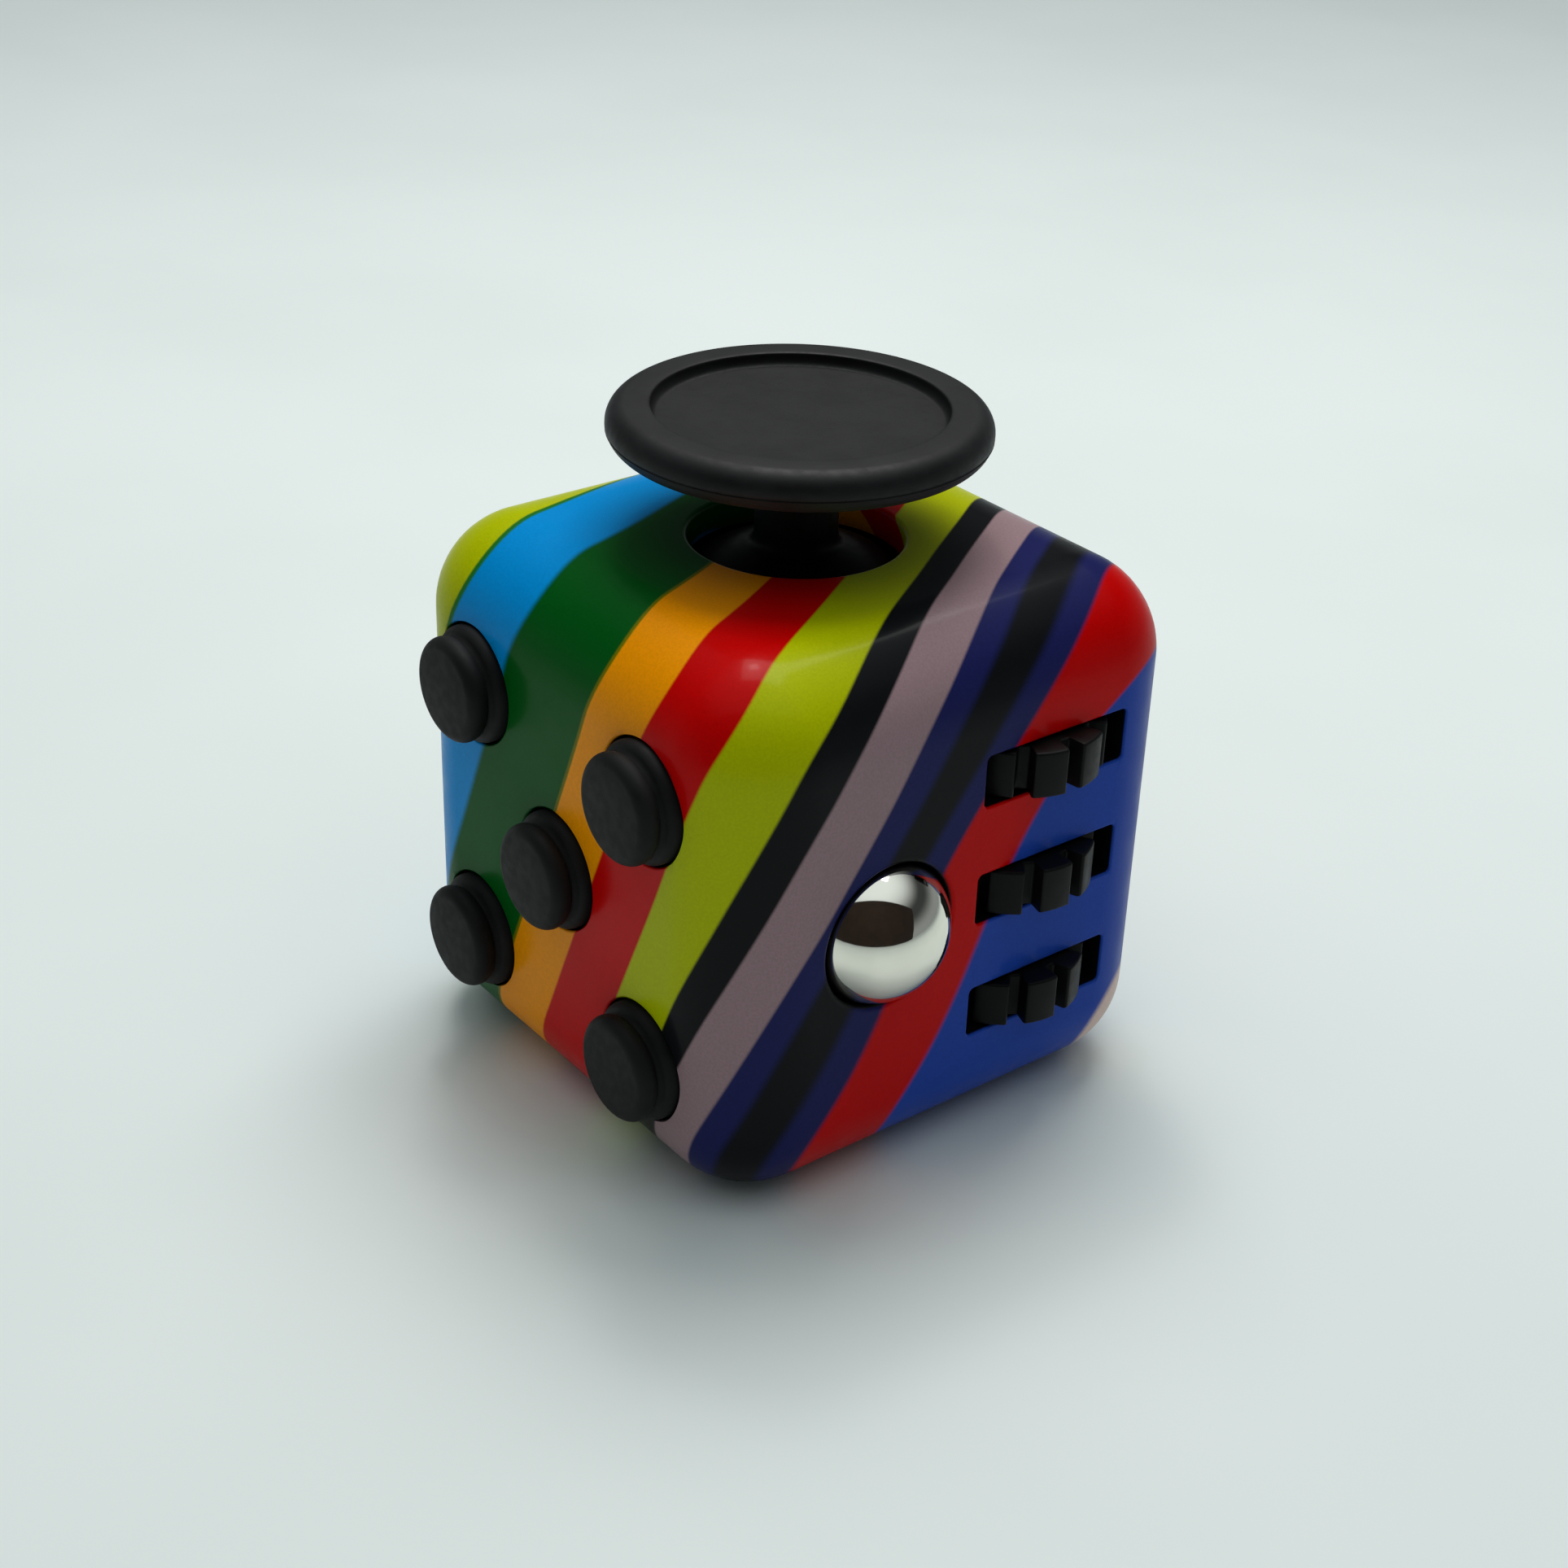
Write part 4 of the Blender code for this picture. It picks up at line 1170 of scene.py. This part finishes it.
# ---- roll side ----
@dataclass
class Wheels(SubAssembly):
    """Three toothed wheels on one upright axle."""

    LEVELS = ("upper", "middle", "lower")

    axle_x: float = 13.1
    axle_y: float = 5.87
    tip: float = 5.0
    root: float = 3.9
    teeth: int = 10
    thick: float = 2.8
    bore: float = 1.0
    tip_share: float = 0.66
    root_share: float = 0.70
    rounding: float = 0.16
    turns: tuple[float, float, float] = (17.0, -6.5, -10.0)

    def outline(self, turn: float) -> np.ndarray:
        """Outline of the teeth, as radius over angle.

        From a tooth's middle the radius is the tip's out to the tip's share of half a pitch, falls in a
        straight line to the root's at its own share and stays there to the next tooth.  The corners at the
        tip and at the root are rounded, and the tooth is repeated around the wheel.

        Args:
            turn: the angle of the first tooth, in degrees.

        Returns:
            The outline's (x, y) rows.
        """
        half_pitch = math.pi / self.teeth
        tip_half = self.tip_share * half_pitch
        root_half = self.root_share * half_pitch
        soft = self.rounding
        near = tip_half - soft / self.tip
        side = (root_half - tip_half) * soft / (self.tip - self.root)
        corner = bent_corner((near, self.tip), (tip_half, self.tip), (tip_half + side, self.tip - soft), 4)
        floor = bent_corner(
            (root_half - side, self.root + soft),
            (root_half, self.root),
            (root_half + soft / self.root, self.root),
            3,
        )
        land = [(0.0, self.tip), (near / 2, self.tip)]
        half_tooth = profile_of(land, corner, floor, [(half_pitch, self.root)])
        tooth = np.concatenate([half_tooth[:0:-1] * (-1, 1), half_tooth[:-1]])
        angle = math.radians(turn) + tooth[:, 0] + 2 * half_pitch * np.arange(self.teeth)[:, None]
        radius = np.broadcast_to(tooth[:, 1], angle.shape)
        return np.stack([radius * np.cos(angle), radius * np.sin(angle)], axis=-1).reshape(-1, 2)

    def build_wheel(self, level: str, turn: float) -> bpy.types.Object:
        """One wheel: the toothed outline as a thick plate with rounded rims and a bore for the axle."""
        wheel = bored_plate(self.outline(turn), self.bore, self.thick, self.rounding)
        middle = (self.axle_x, self.axle_y, cad_middle("gear_" + level)[2])
        return shaded(wheel.placed(middle, Side.TOP.axes).as_object("wheel_" + level), 35)

    def pieces(self) -> Iterator[tuple[bpy.types.Object, str, str]]:
        """The three wheels."""
        for level, turn in zip(self.LEVELS, self.turns):
            yield self.build_wheel(level, turn), "wheel_black", "gear_" + level


@dataclass
class RollBall(SubAssembly):
    """The polished ball beside the wheels, in its seat."""

    radius: float = 4.41

    def pieces(self) -> Iterator[tuple[bpy.types.Object, str, str]]:
        """The ball, as a turned half circle with close rings."""
        profile = profile_of([(0, self.radius)], arc((0, 0), self.radius, 88, -88, 88), [(0, -self.radius)])
        ball = turned(profile, 160).placed(cad_middle("ball"), Side.TOP.axes)
        yield shaded(ball.as_object("roll_ball"), 80), "chrome", "ball"


# ---- flip side ----
@dataclass
class Rocker(SubAssembly):
    """The flip switch: a dished top with round ends, on a cross pin."""

    pivot_x: float = -13.3
    tilt: float = 12.0
    end: float = 6.26
    proud: float = 4.9
    dip: float = 0.55
    width: float = 5.2
    bore: float = 0.78
    rounding: float = 0.45

    def outline(self) -> np.ndarray:
        """Side view as (up, outward) rows from the pivot, before the tilt.

        The two ends are arcs about the pivot, the top between them is the arc through its corners that
        dips in the middle, and straight lines lead in to the narrow tail.

        Returns:
            The outline, going round the left-hand way.
        """
        corner = math.degrees(math.asin(self.proud / self.end))
        half = self.end * math.cos(math.radians(corner))
        dish = (half**2 + self.dip**2) / (2 * self.dip)
        reach = math.degrees(math.asin(half / dish))
        soften = 5.0
        end = arc((0, 0), self.end, 8, corner - soften, 12)
        top = arc((0, self.proud - self.dip + dish), dish, -90 + reach * 0.9, -90 - reach * 0.9, 24)
        tip = bent_corner(end[-1], (half, self.proud), top[0], 5)[1:-1]
        other_end = (end * (-1, 1))[::-1]
        tail = np.array([(-2.4, -1.2), (-1.6, -2.6), (1.6, -2.6), (2.4, -1.2)])
        return profile_of(end, tip, top, (tip * (-1, 1))[::-1], other_end, tail)

    def build(self) -> bpy.types.Object:
        """The outline as a plate as thick as the switch is wide, tilted on its pin, with a plunger bore."""
        turn = math.radians(self.tilt)
        up = np.array((-math.sin(turn), 0, math.cos(turn)))
        outward = np.array((-math.cos(turn), 0, -math.sin(turn)))
        across = np.array((0, -1, 0))
        pivot = (self.pivot_x, 0, MID_Z)
        plate = bored_plate(self.outline(), self.bore, self.width, self.rounding)
        piece = plate.placed(pivot, np.array([up, outward, across])).as_object("flip_switch")
        bore = turned(profile_of([(0, 4.0), (0.95, 4.0), (0.95, 1.3), (0, 1.3)]), 32)
        inward = np.array([across, up, -outward])
        return shaded(worked(piece, bore.placed(pivot, inward), Work.CUT), 35)

    def pieces(self) -> Iterator[tuple[bpy.types.Object, str, str]]:
        """The switch."""
        yield self.build(), "cap_black", "rocker"


# ---- dial side ----
@dataclass
class Dial(SubAssembly):
    """The dial: a low disc with a finger dimple, on a hub."""

    radius: float = 9.0
    proud: float = 2.35
    edge: float = 0.6
    hub: float = 3.0
    dimple_off: float = 4.7
    dimple: float = 3.4
    dimple_height: float = 2.3

    def build(self) -> bpy.types.Object:
        """Turn the disc, then press the dimple in with a ball above its face."""
        under = -0.35
        hub_end = -2.8
        profile = profile_of(
            [(0, self.proud), (self.radius * 0.5, self.proud), (self.radius - self.edge - 0.4, self.proud)],
            arc((self.radius - self.edge, self.proud - self.edge), self.edge, 90, 0, 10),
            [(self.radius, under + 0.2), (self.radius - 0.2, under), (self.hub, under), (self.hub, hub_end)],
            [(0, hub_end)],
        )
        dial = turned(profile, 192).placed((0, HALF, MID_Z), Side.DIAL.axes).as_object("dial_disc")
        mouth = math.sqrt(self.dimple**2 - self.dimple_height**2)
        lip = 0.3
        drop = math.degrees(math.atan2(self.dimple_height + 0.12, mouth - 0.1))
        press = profile_of(
            [(0, 1.0), (mouth + lip, 1.0)],
            bent_corner((mouth + lip, 0.0), (mouth, 0.0), (mouth - 0.1, -0.12), 4),
            arc((0, self.dimple_height), self.dimple, -drop, -89, 20)[1:],
            [(0, self.dimple_height - self.dimple)],
        )
        place = (0, HALF + self.proud, MID_Z + self.dimple_off)
        return shaded(worked(dial, turned(press, 96).placed(place, Side.DIAL.axes), Work.CUT), 35)

    def pieces(self) -> Iterator[tuple[bpy.types.Object, str, str]]:
        """The dial."""
        yield self.build(), "cap_black", "dial"


# ---- inside ----
@dataclass(frozen=True)
class Yielding:
    """A small spring, dome or pad that flattens along one axis as its control is pressed.

    The end that keeps still is 0 for the low end of its box, and 1 for the high end.
    """

    LEAST = 0.1

    node: str
    slot: str
    joint: str
    axis: int
    still_end: int
    travel: float

    def build(self, finish: bpy.types.Material) -> None:
        """Stand a joined-up copy of the CAD piece in its place.

        Args:
            finish: the piece's material.
        """
        mesh = frame["nodes"][self.node].data.copy()
        merged = bmesh.new()
        merged.from_mesh(mesh)
        bmesh.ops.remove_doubles(merged, verts=merged.verts, dist=1e-7)
        merged.to_mesh(mesh)
        merged.free()
        piece = bpy.data.objects.new(f"giving_{self.node}", mesh)
        bpy.context.scene.collection.objects.link(piece)
        install(dressed(piece, finish), self.slot, self.node)
        box = [np.array(corner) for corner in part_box(self.node)]
        height = (box[1] - box[0])[self.axis]
        anchor = (box[0] + box[1]) / 2
        anchor[self.axis] = box[self.still_end][self.axis]
        keep = max(self.LEAST, (height - self.travel * MM) / height)
        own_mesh(piece)


@dataclass
class InnerWorks:
    """The CAD pieces that stay as they are, each with its own finish, and the ones that give way."""

    press: float = 0.8
    ball_press: float = 0.7
    clicking: tuple[str, ...] = ("upper_left", "centre", "lower_right")
    silent: tuple[str, ...] = ("upper_right", "lower_left")

    def yielding(self) -> list[Yielding]:
        """The domes and pads behind the buttons, and the dome and spring behind the ball."""
        kinds = (("snap_dome", "steel", self.clicking), ("silent_pad", "silicone", self.silent))
        behind_buttons = [
            Yielding(f"{kind}_{place}", slot, f"button_{place}_press", 1, 1, self.press)
            for kind, slot, places in kinds
            for place in places
        ]
        behind_ball = [
            Yielding("ball_snap_dome", "steel", "ball_press", 0, 0, self.ball_press),
            Yielding("ball_spring", "steel", "ball_press", 0, 1, self.ball_press),
        ]
        return behind_buttons + behind_ball

    def dress(self, finishes: Materials) -> None:
        """Give every CAD piece that still shows the finish of its material slot.

        Args:
            finishes: a material for each of the record's slots.
        """
        for part in self.yielding():
            part.build(finishes[part.slot])
        for part in frame["record"]["subparts"]:
            node = frame["nodes"][part["node"]]
            if not node.hide_render:
                for slot in node.material_slots:
                    slot.material = finishes[part["material_slot"]]
                LOG.info("%s keeps its CAD shape, finished as %s", node.name, part["material_slot"])


# ---- studio ----
@dataclass(frozen=True)
class SoftLight:
    """A flat square light that faces its aim; its places and width are in millimetres."""

    name: str
    place: Point
    width: float
    watts: float
    color: Color
    aim: Point = (0.0, 0.0, 10.0)

    def build(self) -> None:
        """Add the light."""
        data = bpy.data.lights.new(self.name, "AREA")
        data.shape = "SQUARE"
        data.size = self.width * MM
        data.energy = self.watts
        data.color = self.color
        lamp = bpy.data.objects.new(self.name, data)
        bpy.context.scene.collection.objects.link(lamp)
        facing = (Vector(self.aim) - Vector(self.place)).to_track_quat("-Z", "Y").to_matrix()
        lamp.matrix_world = Matrix.Translation(Vector(self.place) * MM) @ facing.to_4x4()


@dataclass(frozen=True)
class Glow:
    """A band of the surroundings, whose strength changes smoothly between two heights.

    A height is the Z of a direction of length 1.
    """

    from_height: float
    to_height: float
    from_strength: float
    to_strength: float


@dataclass
class Studio:
    """Pale floor, soft lights and the camera."""

    azimuth: float = 51.215
    elevation: float = 28.973
    roll: float = 2.1165
    distance: float = 150.77
    lens: float = 57.73
    shift: tuple[float, float] = (-0.0017, 0.0014)
    floor_half: float = 3000.0
    card_half: tuple[float, float] = (700.0, 260.0)
    card_behind: float = 250.0
    ceiling: Glow = Glow(0.5, 0.97, 0.05, 0.98)
    walls: Glow = Glow(0.10, 0.42, 0.24, 0.0)
    lights: tuple[SoftLight, ...] = (
        SoftLight("overhead", (-85, 95, 325), 200, 0.66, (1.0, 0.99, 0.96)),
        SoftLight("lamp", (-150, 80, 380), 50, 0.12, (1.0, 0.99, 0.97)),
    )

    def view_axes(self) -> np.ndarray:
        """The camera's right, up and backward directions: turned about +Z, raised, then rolled."""
        around, above, roll = np.radians([self.azimuth, self.elevation, self.roll])
        back = np.array(
            (math.sin(around) * math.cos(above), -math.cos(around) * math.cos(above), math.sin(above))
        )
        right = np.array((math.cos(around), math.sin(around), 0))
        up = np.cross(back, right)
        return np.array(
            [right * math.cos(roll) + up * math.sin(roll), up * math.cos(roll) - right * math.sin(roll), back]
        )

    def camera(self) -> None:
        """Set the camera so that the middle of the cube is at its distance along the backward direction."""
        axes = self.view_axes()
        data = bpy.data.cameras.new("camera")
        data.lens = self.lens
        data.sensor_width = 36.0
        data.shift_x, data.shift_y = self.shift
        data.clip_start = 0.01
        camera = bpy.data.objects.new("camera", data)
        bpy.context.scene.collection.objects.link(camera)
        place = Matrix(axes.T.tolist()).to_4x4()
        place.translation = Vector((CENTRE + axes[2] * self.distance) * MM)
        camera.matrix_world = place
        bpy.context.scene.camera = camera

    def floor(self) -> None:
        """A wide pale sheet under the cube, slightly uneven in tone."""
        recipe = Recipe("floor_sheet")
        tone = recipe.ramp(recipe.noise(0.02, 3.0), 0.3, 0.7)
        color = recipe.mix(tone, (0.74, 0.80, 0.785), (0.77, 0.825, 0.81))
        recipe.surface(Base_Color=color, Roughness=0.75)
        just_below = (0, 0, -0.02)
        floor = sheet(self.floor_half, self.floor_half).placed(just_below, Side.TOP.axes).as_object("floor")
        dressed(floor, recipe.material)

    def card(self) -> None:
        """A dark brown card far behind the camera, which only shows in what mirrors it."""
        axes = self.view_axes()
        recipe = Recipe("card_brown")
        color = recipe.mix(recipe.noise(0.01, 2.0), (0.02, 0.010, 0.007), (0.05, 0.022, 0.012))
        recipe.surface(Base_Color=color, Roughness=0.9)
        origin = CENTRE + axes[2] * (self.distance + self.card_behind)
        card = dressed(sheet(*self.card_half).placed(origin, axes).as_object("dark_card"), recipe.material)
        card.visible_camera = False
        card.visible_diffuse = False
        card.visible_shadow = False

    def surroundings(self) -> None:
        """A pale ceiling, dim upper walls and pale lower walls: the sum of two smooth bands of height."""
        world = bpy.data.worlds.new("soft_room")
        world.use_nodes = True
        nodes, links = world.node_tree.nodes, world.node_tree.links
        sky = nodes["Background"]
        sky.inputs["Color"].default_value = (0.86, 0.93, 0.95, 1.0)
        split = nodes.new("ShaderNodeSeparateXYZ")
        links.new(nodes.new("ShaderNodeTexCoord").outputs["Generated"], split.inputs[0])
        total = nodes.new("ShaderNodeMath")
        for socket, band in zip(total.inputs, (self.ceiling, self.walls)):
            glow = nodes.new("ShaderNodeMapRange")
            glow.interpolation_type = "SMOOTHSTEP"
            links.new(split.outputs["Z"], glow.inputs["Value"])
            for key, number in zip(RANGE_SOCKETS, astuple(band)):
                glow.inputs[key].default_value = number
            links.new(glow.outputs["Result"], socket)
        links.new(total.outputs[0], sky.inputs["Strength"])
        bpy.context.scene.world = world

    def build(self) -> None:
        """Set up the floor, the lights, the surroundings and the camera."""
        self.floor()
        self.card()
        self.surroundings()
        for light in self.lights:
            light.build()
        self.camera()
        bpy.context.scene.view_settings.view_transform = "Standard"


def main() -> None:
    """Build and dress every sub-assembly in order, then set up the studio."""
    logging.basicConfig(level=logging.INFO, format="%(name)s: %(message)s")
    finishes = {slot: finish.material() for slot, finish in FINISHES.items()}
    for part in (Casing(), GlideStick(), ClickSide(), Wheels(), RollBall(), Rocker(), Dial(), InnerWorks()):
        part.dress(finishes)
    Studio().build()


if __name__ == "__main__":
    main()
